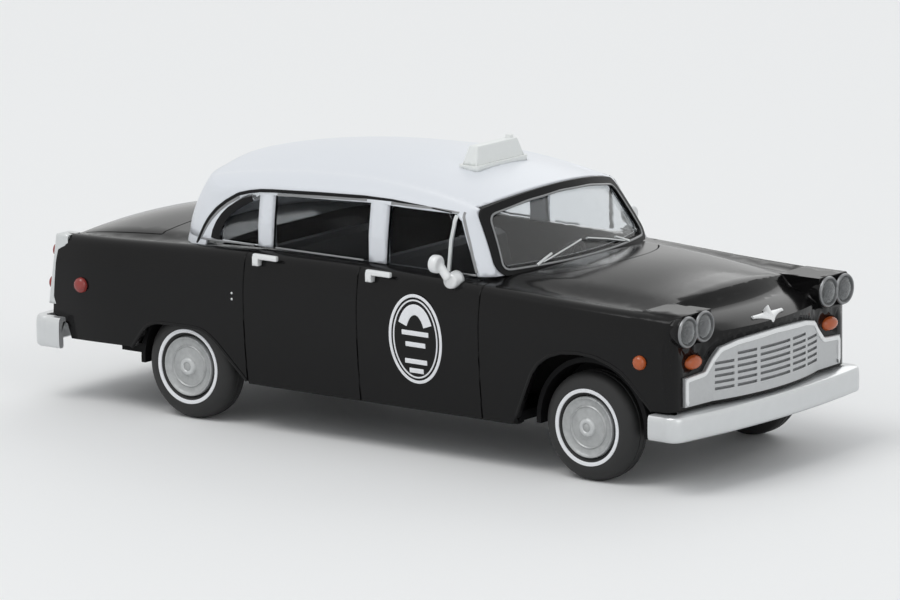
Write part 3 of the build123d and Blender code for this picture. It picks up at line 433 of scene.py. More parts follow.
# Mesh building
def grid_faces(rows, columns, wrap_rows=False, wrap_columns=False, start=0):
    """Quads of a grid of points numbered row by row, joined round where it wraps."""
    index = np.arange(rows * columns).reshape(rows, columns)
    next_row = np.roll(index, -1, 0)
    quads = np.stack([index, np.roll(index, -1, 1), np.roll(next_row, -1, 1), next_row], -1)
    quads = quads if wrap_rows else quads[:-1]
    quads = quads if wrap_columns else quads[:, :-1]
    return quads.reshape(-1, 4) + start


def welded(mesh, source, distance, change):
    """Fills a mesh with a source whose doubles are merged and which is then changed as a bmesh."""
    work = bmesh.new()
    work.from_mesh(source)
    bmesh.ops.remove_doubles(work, verts=work.verts, dist=distance * MM)
    change(work)
    work.to_mesh(mesh)
    work.free()


def turned_out(work):
    """Drops the faces without area and turns the others outwards."""
    bmesh.ops.dissolve_degenerate(work, edges=work.edges, dist=0.0002 * MM)
    bmesh.ops.recalc_face_normals(work, faces=work.faces)


def piece(name, grids, finish, replaced=(), body="cab", crease=35.0, wraps=(False, True)):
    """Object from closed grids of points: doubles merged, faces outwards, smooth but for its creases."""
    points, faces, count = [], [], 0
    for grid in grids:
        rows, columns = grid.shape[:2]
        points.append(grid.reshape(-1, 3))
        faces.append(grid_faces(rows, columns, *wraps, start=count))
        count += rows * columns
    mesh = bpy.data.meshes.new(name)
    mesh.from_pydata(np.concatenate(points), [], np.concatenate(faces).tolist())
    welded(mesh, mesh, 0.0005, turned_out)
    place(name, mesh, finish, body, replaced, crease)


def place(name, mesh, finish, body, replaced, crease):
    """Links a finished mesh, gives it its finish and lets it ride on its body."""
    mesh.polygons.foreach_set("use_smooth", np.ones(len(mesh.polygons), bool))
    mesh.set_sharp_from_angle(angle=math.radians(crease))
    made = bpy.data.objects.new(name, mesh)
    bpy.context.scene.collection.objects.link(made)
    mesh.materials.append(FINISH[finish])
    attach(made, body)
    if replaced:
        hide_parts(*replaced)


def smooth_copy(name, node, finish, slot, longest, crease):
    """Welded, smooth-shaded copy of a node in its own place, with the edges over a length in mm halved."""
    def halved(work):
        for _ in range(HALVINGS):
            long_edges = [edge for edge in work.edges if edge.calc_length() > longest * MM]
            if not long_edges:
                break
            bmesh.ops.subdivide_edges(work, edges=long_edges, cuts=1)
            bmesh.ops.triangulate(work, faces=[face for face in work.faces if len(face.verts) > 3])

    mesh = bpy.data.meshes.new(name)
    welded(mesh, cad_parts[node].data, 0.0004, halved)
    place(name, mesh, finish, "cab", (node,), crease)
    return mesh


def read(items, name, width, kind=float):
    """One property of all of a mesh's items, as rows of numbers."""
    values = np.empty(len(items) * width, kind)
    items.foreach_get(name, values)
    return values.reshape(-1, width) if width > 1 else values


def follow_skin(mesh):
    """Corner normals taken from the drawn skin on faces that lie on it, and left as they are elsewhere."""
    points = read(mesh.vertices, "co", 3) / MM
    parts = [beside_skin(part) for part in np.array_split(points, len(points) // 4000 + 1)]
    normal, away = (np.concatenate(column) for column in zip(*parts))
    vertex = read(mesh.loops, "vertex_index", 1, int)
    face = np.repeat(read(mesh.polygons, "normal", 3), read(mesh.polygons, "loop_total", 1, int), 0)
    near = (away[vertex] < SKIN_REACH) & ((face * normal[vertex]).sum(1) > SKIN_TURN)
    mesh.normals_split_custom_set(np.where(near[:, None], normal[vertex], 0.0).tolist())


def revolved(profile, centre, sides=96, axis=(0, 1, 0), stretch=(1.0, 1.0)):
    """Turned surface: point (r, a) goes to centre + a * axis + r * (su * cos t * u + sv * sin t * v)."""
    profile = np.asarray(profile, float) * MM
    axis = Vector(axis).normalized()
    v = Vector((0, 0, 1)) if abs(axis.z) < 0.9 else Vector((0, 1, 0))
    u = v.cross(axis)
    angle = np.linspace(0, 2 * math.pi, sides, endpoint=False)
    round_ = (stretch[0] * np.cos(angle)[:, None] * np.array(u)
              + stretch[1] * np.sin(angle)[:, None] * np.array(v))
    return (np.array(centre) + profile[:, 1, None, None] * np.array(axis)
            + profile[:, 0, None, None] * round_[None])


def swept(path, section, up=(0, 0, 1), looped=False):
    """Closed section carried along a path: path + s0 * (tangent x up) + s1 * (side x tangent), ends closed.

    The section is one outline, or one for each point of the path.
    """
    path = np.asarray(path, float) * MM
    section = np.asarray(section, float) * MM
    tangent = np.roll(path, -1, 0) - np.roll(path, 1, 0) if looped else np.gradient(path, axis=0)
    tangent /= np.linalg.norm(tangent, axis=1, keepdims=True)
    side = np.cross(tangent, np.asarray(up, float))
    side /= np.linalg.norm(side, axis=1, keepdims=True)
    rise = np.cross(side, tangent)
    section = np.broadcast_to(section, (len(path), *section.shape[-2:]))
    grid = path[:, None] + section[..., 0, None] * side[:, None] + section[..., 1, None] * rise[:, None]
    if looped:
        return grid
    first = np.repeat(grid[:1].mean(1, keepdims=True), section.shape[1], 1)
    last = np.repeat(grid[-1:].mean(1, keepdims=True), section.shape[1], 1)
    return np.concatenate([first, grid, last])


def round_section(half_width, half_height, power=2.0, sides=16):
    """Superellipse: (w |cos t|^(2/p) sign cos t, h |sin t|^(2/p) sign sin t)."""
    t = np.linspace(0, 2 * math.pi, sides, endpoint=False)
    c, s = np.cos(t), np.sin(t)
    return np.stack([half_width * np.sign(c) * np.abs(c) ** (2 / power),
                     half_height * np.sign(s) * np.abs(s) ** (2 / power)], 1)


def strip_section(half_width, proud):
    """Flat section with rounded corners, of twelve points."""
    return round_section(half_width, proud, 4.0, 12)


def polyline(points, steps=8):
    """Points joined by straight runs, each in a few steps."""
    points = np.asarray(points, float)
    t = np.linspace(0, 1, steps, endpoint=False)[:, None]
    runs = [a + (b - a) * t for a, b in zip(points[:-1], points[1:])]
    return np.concatenate(runs + [points[-1:]])


def rounded(corners, radius, steps=6):
    """Closed outline whose corners are rounded by parabolas from a radius before to a radius after each."""
    corners = np.asarray(corners, float)
    t = np.linspace(0, 1, steps)[:, None]
    made = []
    for before, corner, after in zip(np.roll(corners, 1, 0), corners, np.roll(corners, -1, 0)):
        start = corner + (before - corner) / np.linalg.norm(before - corner) * radius
        end = corner + (after - corner) / np.linalg.norm(after - corner) * radius
        made.append(start * (1 - t) ** 2 + corner * 2 * t * (1 - t) + end * t ** 2)
    return np.concatenate(made)


def laid(surface, points, sign=1, lift=0.0, ends=False):
    """Points (u, v) laid on a height map and raised along its outward normal, which is given too.

    A side map gives |y| over (x, z); an end map gives x over (y, z).
    """
    u, v = np.asarray(points, float).T
    step = 0.05
    height = surface(u, v)
    du = (surface(u + step, v) - surface(u - step, v)) / (2 * step)
    dv = (surface(u, v + step) - surface(u, v - step)) / (2 * step)
    one = np.ones(len(u))
    if ends:
        at, normal = np.stack([height, u, v], 1), np.stack([one, -du, -dv], 1) * sign
    else:
        at, normal = np.stack([u, sign * height, v], 1), np.stack([-du, sign * one, -dv], 1)
    normal /= np.linalg.norm(normal, axis=1, keepdims=True)
    return at + normal * lift, normal


def strip(surface, points, width, proud, sign=1, lift=0.0, ends=False, looped=False, steps=8):
    """Low rounded strip along points of a wall: half sunk into it, half proud of it."""
    line = np.asarray(points, float)
    line = np.concatenate([line, line[:1]]) if looped else line
    line = polyline(line, steps)
    path, normal = laid(surface, line[:-1] if looped else line, sign, lift, ends)
    widths = np.broadcast_to(np.linspace(*width, len(path)) if np.ndim(width) else width, len(path))
    section = strip_section(0.5, proud)[None] * np.stack([widths, np.ones(len(path))], 1)[:, None]
    return swept(path, section, normal, looped=looped)


def cast_on(name, path, direction, reach):
    """Points of a path moved along an axis onto a node; one out of its reach moves as its neighbours do."""
    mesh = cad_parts[name].data
    tree = BVHTree.FromPolygons([v.co for v in mesh.vertices], [p.vertices for p in mesh.polygons])
    way = np.array(direction, float)
    starts = (path - way * CAST_FROM) * MM
    hits = [tree.ray_cast(Vector(start), Vector(direction))[0] for start in starts]
    depth = np.array([(np.array(hit) / MM - at) @ way if hit else np.inf for hit, at in zip(hits, path)])
    near = np.abs(depth) < reach
    order = np.arange(len(path))
    return path + way * np.interp(order, order[near], depth[near])[:, None]


def roof_strip(points, width, proud, sign, lift=0.0, taper=1.0):
    """Low rounded strip along points (x, z) of the cabin wall, laid on the roof moulding, its end tapered."""
    path, normal = laid(side_wall, even(np.array(points), STRIP_POINTS), sign)
    path = cast_on("roof_moulding", path, (0, -sign, 0), 0.8) + normal * lift
    slim = np.interp(np.arange(STRIP_POINTS), (STRIP_POINTS * 2 // 3, STRIP_POINTS - 1), (1.0, taper))
    return swept(path, strip_section(width / 2, proud) * slim[:, None, None], normal)


def ring_of(corners, radius):
    """Closed outline with rounded corners, at even steps."""
    ring = rounded(corners, radius, 9)
    return even(np.concatenate([ring, ring[:1]]), RING_POINTS)[:-1]


# Pieces
HALVINGS = 7
CAST_FROM = 3.0
STRIP_POINTS, RING_POINTS = 90, 160
SKIN_REACH = 0.045
SKIN_TURN = 0.9
TYRE_PROFILE = [(2.15, -1.0), (2.15, -0.34), (2.22, -0.2), (2.36, -0.1), (2.5, -0.04), (2.75, 0.0),
                (3.0, -0.02), (3.25, -0.09), (3.45, -0.2), (3.6, -0.34), (3.72, -0.5), (3.79, -0.72),
                (3.8, -0.9), (3.74, -0.93), (3.74, -1.0), (3.8, -1.03), (3.8, -1.37), (3.74, -1.4),
                (3.74, -1.47), (3.8, -1.5), (3.76, -1.75), (3.65, -1.92), (3.4, -2.08), (3.0, -2.17),
                (2.6, -2.2), (2.15, -2.0), (2.15, -1.0)]
TYRE_SIDES = 96
CAP_PROFILE = [(0.0, 0.08), (0.26, 0.07), (0.34, 0.02), (0.5, -0.02), (0.68, -0.06), (0.72, -0.08),
               (0.84, -0.1), (1.1, -0.13), (1.36, -0.13), (1.4, -0.07), (1.45, -0.05), (1.5, -0.08),
               (1.54, -0.15), (1.8, -0.13), (1.94, -0.06), (2.0, 0.01), (2.08, 0.02), (2.13, -0.04),
               (2.15, -0.3), (2.15, -1.9), (0.6, -1.9), (0.6, -0.6), (0.0, -0.6)]
BOSS_PROFILE = [(0.3, -0.1), (0.31, 0.07), (0.36, 0.12), (0.44, 0.13), (0.55, 0.11), (0.62, 0.05),
                (0.66, -0.1), (0.3, -0.1)]
# Twin headlamps of one side as y, z; the rim plate's front x
LAMPS = ((9.2, 11.15), (7.3, 11.25))
RIM_X = 27.6 + DATUM
RIM_PROFILE = [(0.9, -0.6), (0.9, -0.12), (0.93, -0.03), (0.985, 0.0), (1.04, -0.03), (1.075, -0.1),
               (1.08, -0.2), (1.08, -0.6), (0.9, -0.6)]
HOOD_PROFILE = [(0.8, -1.3), (1.07, -0.5), (1.07, -0.2), (1.09, -0.17), (1.115, -0.19), (1.13, -0.26),
                (1.12, -0.5), (0.9, -1.3), (0.8, -1.3)]
BOWL_PROFILE = [(0.0, -0.34), (0.3, -0.33), (0.34, -0.3), (0.38, -0.32), (0.62, -0.25), (0.8, -0.16),
                (0.905, -0.08), (0.905, -0.55), (0.0, -0.55)]
LENS_PROFILE = [(0.0, 0.05), (0.2, 0.045), (0.4, 0.025), (0.58, -0.01), (0.72, -0.06), (0.82, -0.12),
                (0.895, -0.2), (0.895, -0.24), (0.8, -0.17), (0.6, -0.1), (0.4, -0.06), (0.2, -0.04),
                (0.0, -0.035)]
# Headlamp parts: name, profile, finish, slot and the node that each replaces
HEADLAMP_PARTS = (
    ("headlamp_rims_", RIM_PROFILE, "rim", "silver_trim", "headlamp_bezel_"),
    ("headlamp_hoods_", HOOD_PROFILE, "body", "black_body", None),
    ("headlamp_bowls_", BOWL_PROFILE, "bowl", "silver_trim", None),
    ("headlamp_domes_", LENS_PROFILE, "lens", "lamp_clear", "headlamp_lens_"),
)
# Small lamps: name, node, whether it faces forward, rise of its dome in mm, finish and slot
SMALL_LAMPS = (
    ("turn_dome_", "turn_lamp_", True, 0.42, "amber", "amber_lens"),
    ("front_marker_dome_", "marker_front_", False, 0.32, "amber", "amber_lens"),
    ("rear_marker_dome_", "marker_rear_", False, 0.32, "red", "red_lens"),
)
# Dome of a small lamp, as fractions of its radius and of its height
DOME = [(0.0, 1.0), (0.3, 0.97), (0.55, 0.86), (0.75, 0.68), (0.9, 0.4), (0.98, 0.12), (1.0, -0.2),
        (1.0, -1.0), (0.0, -1.0)]
# Bumper blade: outward and upward fractions of half its thickness and half its height
BLADE = [(1.0, 0.0), (0.99, 0.42), (0.93, 0.7), (0.72, 0.9), (0.3, 1.0), (-1.0, 1.0), (-1.0, 0.72),
         (-0.9, 0.7), (-0.9, 0.0), (-1.0, -0.9), (-0.5, -1.0), (0.3, -1.0), (0.72, -0.92), (0.93, -0.76),
         (0.99, -0.45)]
# The blade's two points at the back of its top ledge, and the ledge's depth in the middle and at the ends
LEDGE_POINTS = [5, 6]
LEDGES = {"front": (1.6, 0.5), "rear": (0.7, 0.25)}
BUMPERS = {"front": (28.7 + DATUM, 27.95 + DATUM, 25.4 + DATUM, 3.75, 5.5),
           "rear": (29.3 - DATUM, 29.1 - DATUM, 26.5 - DATUM, 3.85, 6.05)}
BUMPER_HALF, BUMPER_THICK, BUMPER_CORNER = 11.0, 0.5, 0.75
BRACKET_START, BRACKET_Y, BRACKET_Z = 24.4, 5.0, 4.3
# Grille panels: inner y, outer y and top z; the slots between level bars, and the depth of their floor
PANELS = ((-1.75, 1.75, 9.3), (2.1, 4.0, 9.2), (4.3, 6.0, 8.75))
PANEL_LOW, BAR_PITCH, SLOT, RECESS_DEPTH = 6.6, 0.44, 0.2, 0.17
# Outline of the grille's bead on one side as (y, z)
GRILLE_EDGE = ((0, 6.08), (8.93, 6.08), (8.93, 7.74), (6.95, 7.88), (6.27, 8.58), (5.5, 9.34), (3.95, 9.65),
               (0, 9.84))
GRILLE_TURN = 6.2
ORNAMENT_AT, ORNAMENT_TILT = np.array((27.55 + DATUM, 0, 10.76)), 32


def grille_face(y, z):
    """x of the grille plate's face: a bow to its turn, then straight to the corner."""
    bow = 28.25 - 0.9 * (y / GRILLE_TURN) ** 2
    straight = 27.35 - 0.2 * (np.abs(y) - GRILLE_TURN) / 3.6
    return np.where(np.abs(y) < GRILLE_TURN, bow, straight) + DATUM + 0 * z


# Printed and foil lines on the cabin wall, and the drip rail drawn black as its painted shadow, as (x, z)
DRIP_LINE = ((-14.72, 12.55), (-14.45, 13.0), (-13.95, 13.9), (-13.5, 14.55), (-12.85, 15.25),
             (-12.05, 15.85), (-11.0, 16.45), (-10.0, 16.72), (-9.0, 16.9), (-7.83, 17.0), (-3.83, 17.24),
             (0.15, 17.43), (2.49, 17.43), (5.2, 17.27), (7.4, 17.06))
QUARTER_ARC = ((-14.28, 13.05), (-13.81, 13.82), (-13.35, 14.44), (-12.71, 15.09), (-11.97, 15.67),
               (-10.91, 16.28), (-9.98, 16.54), (-9.11, 16.67))
QUARTER_EDGE = ((-12.9, 13.1), (-12.83, 13.6), (-12.6, 14.15), (-12.22, 14.7), (-11.72, 15.2),
                (-11.15, 15.6), (-10.6, 15.9), (-10.05, 16.14), (-9.75, 16.24))
# Edges of the wheel arches on the body's side, as (x, z)
ARCHES = (
    ((-19.9, 4.65), (-18.9, 5.87), (-18.5, 6.3), (-18.1, 6.55), (-17.6, 6.73), (-17.1, 6.8), (-14.3, 6.85),
     (-13.5, 6.8), (-12.9, 6.6), (-12.4, 6.28), (-11.9, 5.9), (-9.5, 3.5)),
    ((14.2, 3.9), (15.7, 7.1), (16.3, 7.9), (17.15, 8.5), (18.3, 8.9), (19.7, 9.03), (21.1, 8.92),
     (22.3, 8.55), (23.2, 8.1), (23.9, 7.5), (25.6, 5.65)),
)
FOIL_LINES = {
    "rear_door": ((-7.49, 16.77), (-3.75, 17.04), (0.37, 17.27)),
    "front_door": ((2.5, 17.25), (5.9, 17.2), (7.9, 17.06)),
    "quarter": QUARTER_ARC[:6],
    "front_frame": ((8.3, 17.1), (9.27, 15.2), (10.11, 13.25)),
}
SILL_LINES = {
    "quarter_sill": ((-14.3, 12.98), (-9.35, 13.06)),
    "rear_sill": ((-7.4, 13.08), (-1.43, 13.1), (0.4, 13.1)),
    "vent_sill": ((8.3, 13.1), (10.1, 13.08)),
}
VENT_POST = ((8.0, 17.0), (7.74, 15.27), (7.68, 13.12))
# Outlines of the rear window, with its middle and half its size, and of the windscreen, as (y, z)
BACKLIGHT = ((-7.2, 13.7), (0, 13.7), (7.2, 13.7), (6.2, 16.4), (3.1, 16.77), (0, 16.9), (-3.1, 16.77),
             (-6.2, 16.4))
BACKLIGHT_MIDDLE, BACKLIGHT_HALF = np.array((0, 15.15)), np.array((6.7, 1.5))
SCREEN_EDGE = ((-8.1, 13.35), (8.1, 13.35), (7.14, 16.85), (3.6, 17.4), (0, 17.59), (-3.6, 17.4),
               (-7.14, 16.85))
# Two tiny silver domes on the rear fender, as (x, z)
FENDER_DOMES = ((-10.4, 9.72), (-10.4, 9.29))
# Lines round the end windows: name, node, widening, corner radius, facing, half width, height, finish, slot
WINDOW_LINES = (
    ("screen_foil", "windscreen_surround", None, 0.6, 1, 0.075, 0.05, "rim", "silver_trim"),
    ("rear_window_seal", "roof_moulding", 0.13, 0.75, -1, 0.16, 0.06, "seal", "black_seal"),
    ("rear_window_foil", "roof_moulding", 0.36, 0.75, -1, 0.07, 0.05, "foil", "silver_trim"),
)
# Roof's foot: (z, how far inside the wall's outline) round its section, and the x where it starts
SKIRT_SECTION, SKIRT_START = ((12.45, 0.01), (13.01, 0.0), (13.01, -0.15), (12.45, -0.15)), -13.5
# Wiper arm and blade as (y, z)
WIPER_ARM = ((5.3, 13.3), (4.5, 13.6), (3.66, 13.87))
WIPER_BLADE = ((4.7, 13.43), (2.5, 13.92), (0.35, 14.33))
# Generic oval door badge: middle as (x, z), half width and half height
BADGE_AT, BADGE_HALF = (5.81, 8.35), (2.2, 3.05)
BADGE_BARS = ((8.75, 1.15), (7.95, 0.85), (6.75, 0.95), (6.1, 0.6))


class CAB_OT_shell(bpy.types.Operator):
    """Body, roof and windscreen surround, welded and smoothed in their own places"""

    bl_idname = "cab.shell"
    bl_label = "Body and Roof"

    def execute(self, context):
        follow_skin(smooth_copy("body_shell", "body_lower", "body", "black_body", 1.2, 24.0))
        smooth_copy("roof_shell", "roof_moulding", "roof", "white_roof", 0.7, 50.0)
        smooth_copy("screen_seal", "windscreen_surround", "seal", "black_seal", math.inf, 24.0)
        return {"FINISHED"}


class CAB_OT_wheels(bpy.types.Operator):
    """Tyres with their white rings, and the stepped hub caps"""

    bl_idname = "cab.wheels"
    bl_label = "Wheels"

    def execute(self, context):
        sizes = context.scene.cab_sizes
        inner, outer = sizes.ring_inner / MM, sizes.ring_outer / MM
        ring = [(inner, -0.06), (inner, 0.0), (inner + 0.03, 0.03), (outer - 0.03, 0.05), (outer, 0.03),
                (outer, -0.06), (inner, -0.06)]
        for end in ENDS:
            for side, sign in SIDES:
                centre = Vector((WHEEL_CENTRES[end].x, sign * TYRE_FACE, TYRE_RADIUS))
                axis = (0, sign, 0)
                tyre = "tyre_%s_%s" % (end, side)
                wheel = "wheel_%s_%s" % (end, side)
                for name, profile, sides, finish, slot, replaced, crease in (
                        (tyre + "_skin", TYRE_PROFILE, TYRE_SIDES, "rubber", "tyre_black", (tyre,), 35.0),
                        (tyre + "_ring", ring, 128, "print", "tyre_black", (), 35.0),
                        (wheel + "_boss", BOSS_PROFILE, 48, "boss", "silver_wheel", (), 35.0),
                        (wheel + "_cap", CAP_PROFILE, 96, "hub", "silver_wheel", (wheel,), 50.0)):
                    grid = revolved(profile, centre, sides, axis)
                    piece(name, [grid], finish, replaced, end + "_wheels", crease)
        return {"FINISHED"}


class CAB_OT_lamps(bpy.types.Operator):
    """Headlamps with bowls behind clear domes, turn lamps and side markers"""

    bl_idname = "cab.lamps"
    bl_label = "Lamps"

    def execute(self, context):
        for side, sign in SIDES:
            middles = [np.array((RIM_X, sign * y, z)) * MM for y, z in LAMPS]
            for name, profile, finish, slot, node in HEADLAMP_PARTS:
                grids = [revolved(profile, at, 64, (1, 0, 0)) for at in middles]
                piece(name + side, grids, finish, (node + side,) if node else ())
            for name, node, forward, rise, finish, slot in SMALL_LAMPS:
                axis = (1, 0, 0) if forward else (0, sign, 0)
                self.dome(name + side, node + side, axis, rise, finish, slot)
        return {"FINISHED"}

    def dome(self, name, node, axis, rise, finish, slot):
        """Oval dome in a node's own box: its outer end bulges by the rise, in mm."""
        low, high = (np.array(corner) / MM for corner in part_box(node))
        middle, half = (low + high) / 2, (high - low) / 2
        along = int(np.argmax(np.abs(axis)))
        wide = 1 - along
        front = middle.copy()
        front[along] += axis[along] * (half[along] - rise)
        deep = 2 * half[along] - rise
        profile = [(r, rise * a if a > 0 else deep * a) for r, a in DOME]
        grid = revolved(profile, front * MM, 48, axis, (half[wide], half[2]))
        piece(name, [grid], finish, (node,), crease=50.0)


class CAB_OT_bumpers(bpy.types.Operator):
    """Bumper blades with rounded edges on their brackets"""

    bl_idname = "cab.bumpers"
    bl_label = "Bumpers"

    def execute(self, context):
        for end, turn in (("front", 1), ("rear", -1)):
            face, shoulder, back, low, high = BUMPERS[end]
            inset = BUMPER_THICK / 2
            half = BUMPER_HALF - inset
            turning = half - BUMPER_CORNER
            y = np.linspace(0, turning, 24, endpoint=False)
            front = np.stack([face - inset - (face - shoulder) * (y / turning) ** 2, y], 1)
            edge = (shoulder - inset, turning)
            wing_start = (shoulder - inset - 1.0, half)
            corner = arc_through(edge, (shoulder - inset - 0.2, half - 0.21), wing_start, 10)
            run = polyline([wing_start, (back, half)], 6)
            wing = np.concatenate([front, corner, run])
            plan = np.concatenate([wing[:0:-1] * (1, -1), wing])
            path = np.column_stack([plan, np.full(len(plan), (low + high) / 2)])
            section = np.repeat(np.array(BLADE)[None] * (inset, (high - low) / 2), len(path), 0)
            ledge = np.interp(np.abs(plan[:, 1]), (half - 2.0, half - 1.0), LEDGES[end])
            section[:, LEDGE_POINTS, 0] -= ledge[:, None]
            grids = [swept(path, section)]
            bracket = round_section(0.7, 0.4, 8.0, 16)
            for y in (-BRACKET_Y, BRACKET_Y):
                start = (BRACKET_START + DATUM * turn, y, BRACKET_Z)
                grids.append(swept([start, (face - 0.45, y, BRACKET_Z)], bracket))
            grids = [grid * (turn, 1, 1) for grid in grids]
            name = "bumper_" + end
            piece(name + "_blade", grids, "chrome", (name,), crease=40.0)
        return {"FINISHED"}


class CAB_OT_trims(bpy.types.Operator):
    """Foil lines, drip rails drawn black as their painted shadow, window frames, wipers, painted shade in the
    grille's slots and two tiny silver domes
    """

    bl_idname = "cab.trims"
    bl_label = "Trims"

    def execute(self, context):
        for side, sign in SIDES:
            # Drip rail in black seal finish: painted shadow under the roof's edge.
            rail = roof_strip(DRIP_LINE, 0.24, 0.06, sign, 0.02, 0.35)
            piece("drip_rail_shadow_" + side, [rail], "seal")
            foils = [roof_strip(line, 0.2, 0.04, sign) for line in FOIL_LINES.values()]
            foils += [strip(side_wall, line, 0.14, 0.04, sign) for line in SILL_LINES.values()]
            piece("window_foils_" + side, foils, "foil")
            post = strip(side_wall, VENT_POST, 0.28, 0.1, sign, -0.16)
            piece("vent_post_" + side, [post], "silver")
            edge = strip(side_wall, QUARTER_EDGE, (0.85, 0.42), 0.05, sign, -0.015)
            piece("quarter_seal_" + side, [edge], "seal")
            lips = [strip(side_body, even(np.array(arch), 60), 0.24, 0.07, sign, -0.015, steps=1)
                    for arch in ARCHES]
            piece("arch_lips_" + side, lips, "body")
            small_domes = []
            for x, z in FENDER_DOMES:
                at, normal = laid(side_body, [(x, z)], sign)
                profile = [(0.09 * r, 0.05 * a) for r, a in DOME]
                small_domes.append(revolved(profile, at[0] * MM, 16, tuple(normal[0])))
            piece("fender_domes_" + side, small_domes, "silver", crease=60.0)
            self.wiper(side, sign, context.scene.cab_sizes.wiper_width / MM)
        self.window_lines()
        self.paint_slot_shades()
        self.skirt()
        self.grille_frame()
        self.ornament()
        return {"FINISHED"}

    def wiper(self, side, sign, width):
        """Short arm and a thin blade along the windscreen."""
        arm, blade = (np.array(line) * (sign, 1) for line in (WIPER_ARM, WIPER_BLADE))
        grids = [strip(front_wall, arm, (width, width * 0.7), 0.09, 1, 0.15, True),
                 strip(front_wall, blade, width * 0.55, 0.1, 1, 0.12, True)]
        piece("wiper_" + side, grids, "silver")

    def window_lines(self):
        """Silver line inside the windscreen's seal, and the seal and silver line round the rear window."""
        for name, node, grow, radius, facing, half_width, proud, finish, slot in WINDOW_LINES:
            corners = SCREEN_EDGE
            if grow:
                corners = (BACKLIGHT - BACKLIGHT_MIDDLE) * (1 + grow / BACKLIGHT_HALF) + BACKLIGHT_MIDDLE
            wall = front_wall if facing > 0 else rear_wall
            path, normal = laid(wall, ring_of(corners, radius), facing, 0.0, True)
            path = cast_on(node, path, (-facing, 0, 0), 0.6)
            grid = swept(path, strip_section(half_width, proud), normal, looped=True)
            piece(name, [grid], finish, wraps=(True, True))

    def skirt(self):
        """White foot of the rear pillars and rear wall, down to the deck: the wall's own lines, thickened."""
        rows = []
        for z, inward in SKIRT_SECTION:
            half = wall_outline(z)
            half = even(half[half[:, 0] < SKIRT_START], 60)
            plan = np.concatenate([half, half[-2::-1] * (1, -1)])
            run = np.gradient(plan, axis=0)
            away = np.stack([-run[:, 1], run[:, 0]], 1) / np.linalg.norm(run, axis=1, keepdims=True)
            rows.append(np.column_stack([plan - away * inward, np.full(len(plan), z)]))
        grid = np.stack(rows) * MM
        first, last = (np.repeat(end.mean(0, keepdims=True), 4, 0) for end in (grid[:, :1], grid[:, -1:]))
        grid = np.concatenate([first, grid, last], 1)
        piece("roof_skirt", [grid], "roof", wraps=(True, False))

    def grille_frame(self):
        """Raised bead round the grille's plate, in the lighter silver as a painted highlight against the
        darker plate.
        """
        half = np.array(GRILLE_EDGE)
        ring = np.concatenate([half, half[-2::-1] * (-1, 1)])
        line = rounded(ring, 0.25, 4)
        grid = strip(grille_face, line, 0.3, 0.09, 1, 0.0, True, True, 3)
        piece("grille_bead", [grid], "bright", wraps=(True, True))

    def ornament(self):
        """Plain winged ornament: a wing across, thickest in the middle, and a low fin on top."""
        tilt = math.radians(ORNAMENT_TILT)
        along = np.array((math.cos(tilt), 0, -math.sin(tilt)))
        rise = np.array((math.sin(tilt), 0, math.cos(tilt)))
        y = np.linspace(-1.72, 1.72, 41)
        inward = 1 - np.abs(y) / 1.74
        wing = (ORNAMENT_AT + (-0.14 + 0.22 * inward ** 2)[:, None] * along + y[:, None] * np.array((0, 1, 0))
                + (0.1 - 0.14 * inward)[:, None] * rise)
        size = np.stack([0.13 + 0.38 * inward ** 2, 0.1 + 0.16 * inward], 1)
        grids = [swept(wing, round_section(1.0, 1.0, 2.3, 20) * size[:, None], rise)]
        t = np.linspace(0, 1, 16)
        fin = ORNAMENT_AT + (-0.48 + 0.76 * t)[:, None] * along + (0.3 - 0.16 * t)[:, None] * rise
        size = np.stack([0.12 - 0.04 * t, 0.38 - 0.2 * t], 1)
        grids.append(swept(fin, round_section(1.0, 1.0, 2.3, 16) * size[:, None], rise))
        piece("bonnet_ornament_wing", grids, "bright", ("bonnet_ornament",))

    def paint_slot_shades(self):
        """Dark strips at the bottom of the grille's slots, as painted shade in them."""
        grids = []
        section = round_section(0.02, SLOT / 2 - 0.003, 8.0, 8)
        for inner, outer, top in PANELS:
            for low_y, high_y in sorted({(inner, outer), (-outer, -inner)}):
                for i in range(int((top - PANEL_LOW - SLOT) / BAR_PITCH) + 1):
                    y = np.linspace(low_y + 0.01, high_y - 0.01, 9)
                    z = np.full(len(y), PANEL_LOW + i * BAR_PITCH + SLOT / 2)
                    x = grille_face(y, z) - RECESS_DEPTH
                    grids.append(swept(np.stack([x, y, z], 1), section))
        piece("grille_slot_shades", grids, "dark")


class CAB_OT_badge(bpy.types.Operator):
    """Plain oval badge with a solid arch and short bars on each front door"""

    bl_idname = "cab.badge"
    bl_label = "Door Badges"

    def execute(self, context):
        line = context.scene.cab_sizes.line_width / MM
        middle = np.array(BADGE_AT)
        half = np.array(BADGE_HALF)
        turn = np.linspace(0, 2 * math.pi, 72, endpoint=False)
        circle = np.stack([np.cos(turn), np.sin(turn)], 1)
        t = np.linspace(math.radians(28), math.radians(152), 24)
        arch = np.stack([np.cos(t), np.sin(t)], 1)
        for side, sign in SIDES:
            rings = [strip(side_body, middle + circle * size, width, 0.03, sign, looped=True, steps=1)
                     for size, width in ((half, line), (half - 0.32, line * 0.5))]
            piece("badge_rings_" + side, rings, "print", wraps=(True, True))
            bars = [strip(side_body, middle + arch * (half - 0.98), 0.75, 0.03, sign, steps=2)]
            for z, wide in BADGE_BARS:
                ends = ((middle[0] - wide, z), (middle[0] + wide, z))
                bars.append(strip(side_body, ends, 0.34, 0.03, sign))
            piece("badge_bars_" + side, bars, "print")
        return {"FINISHED"}


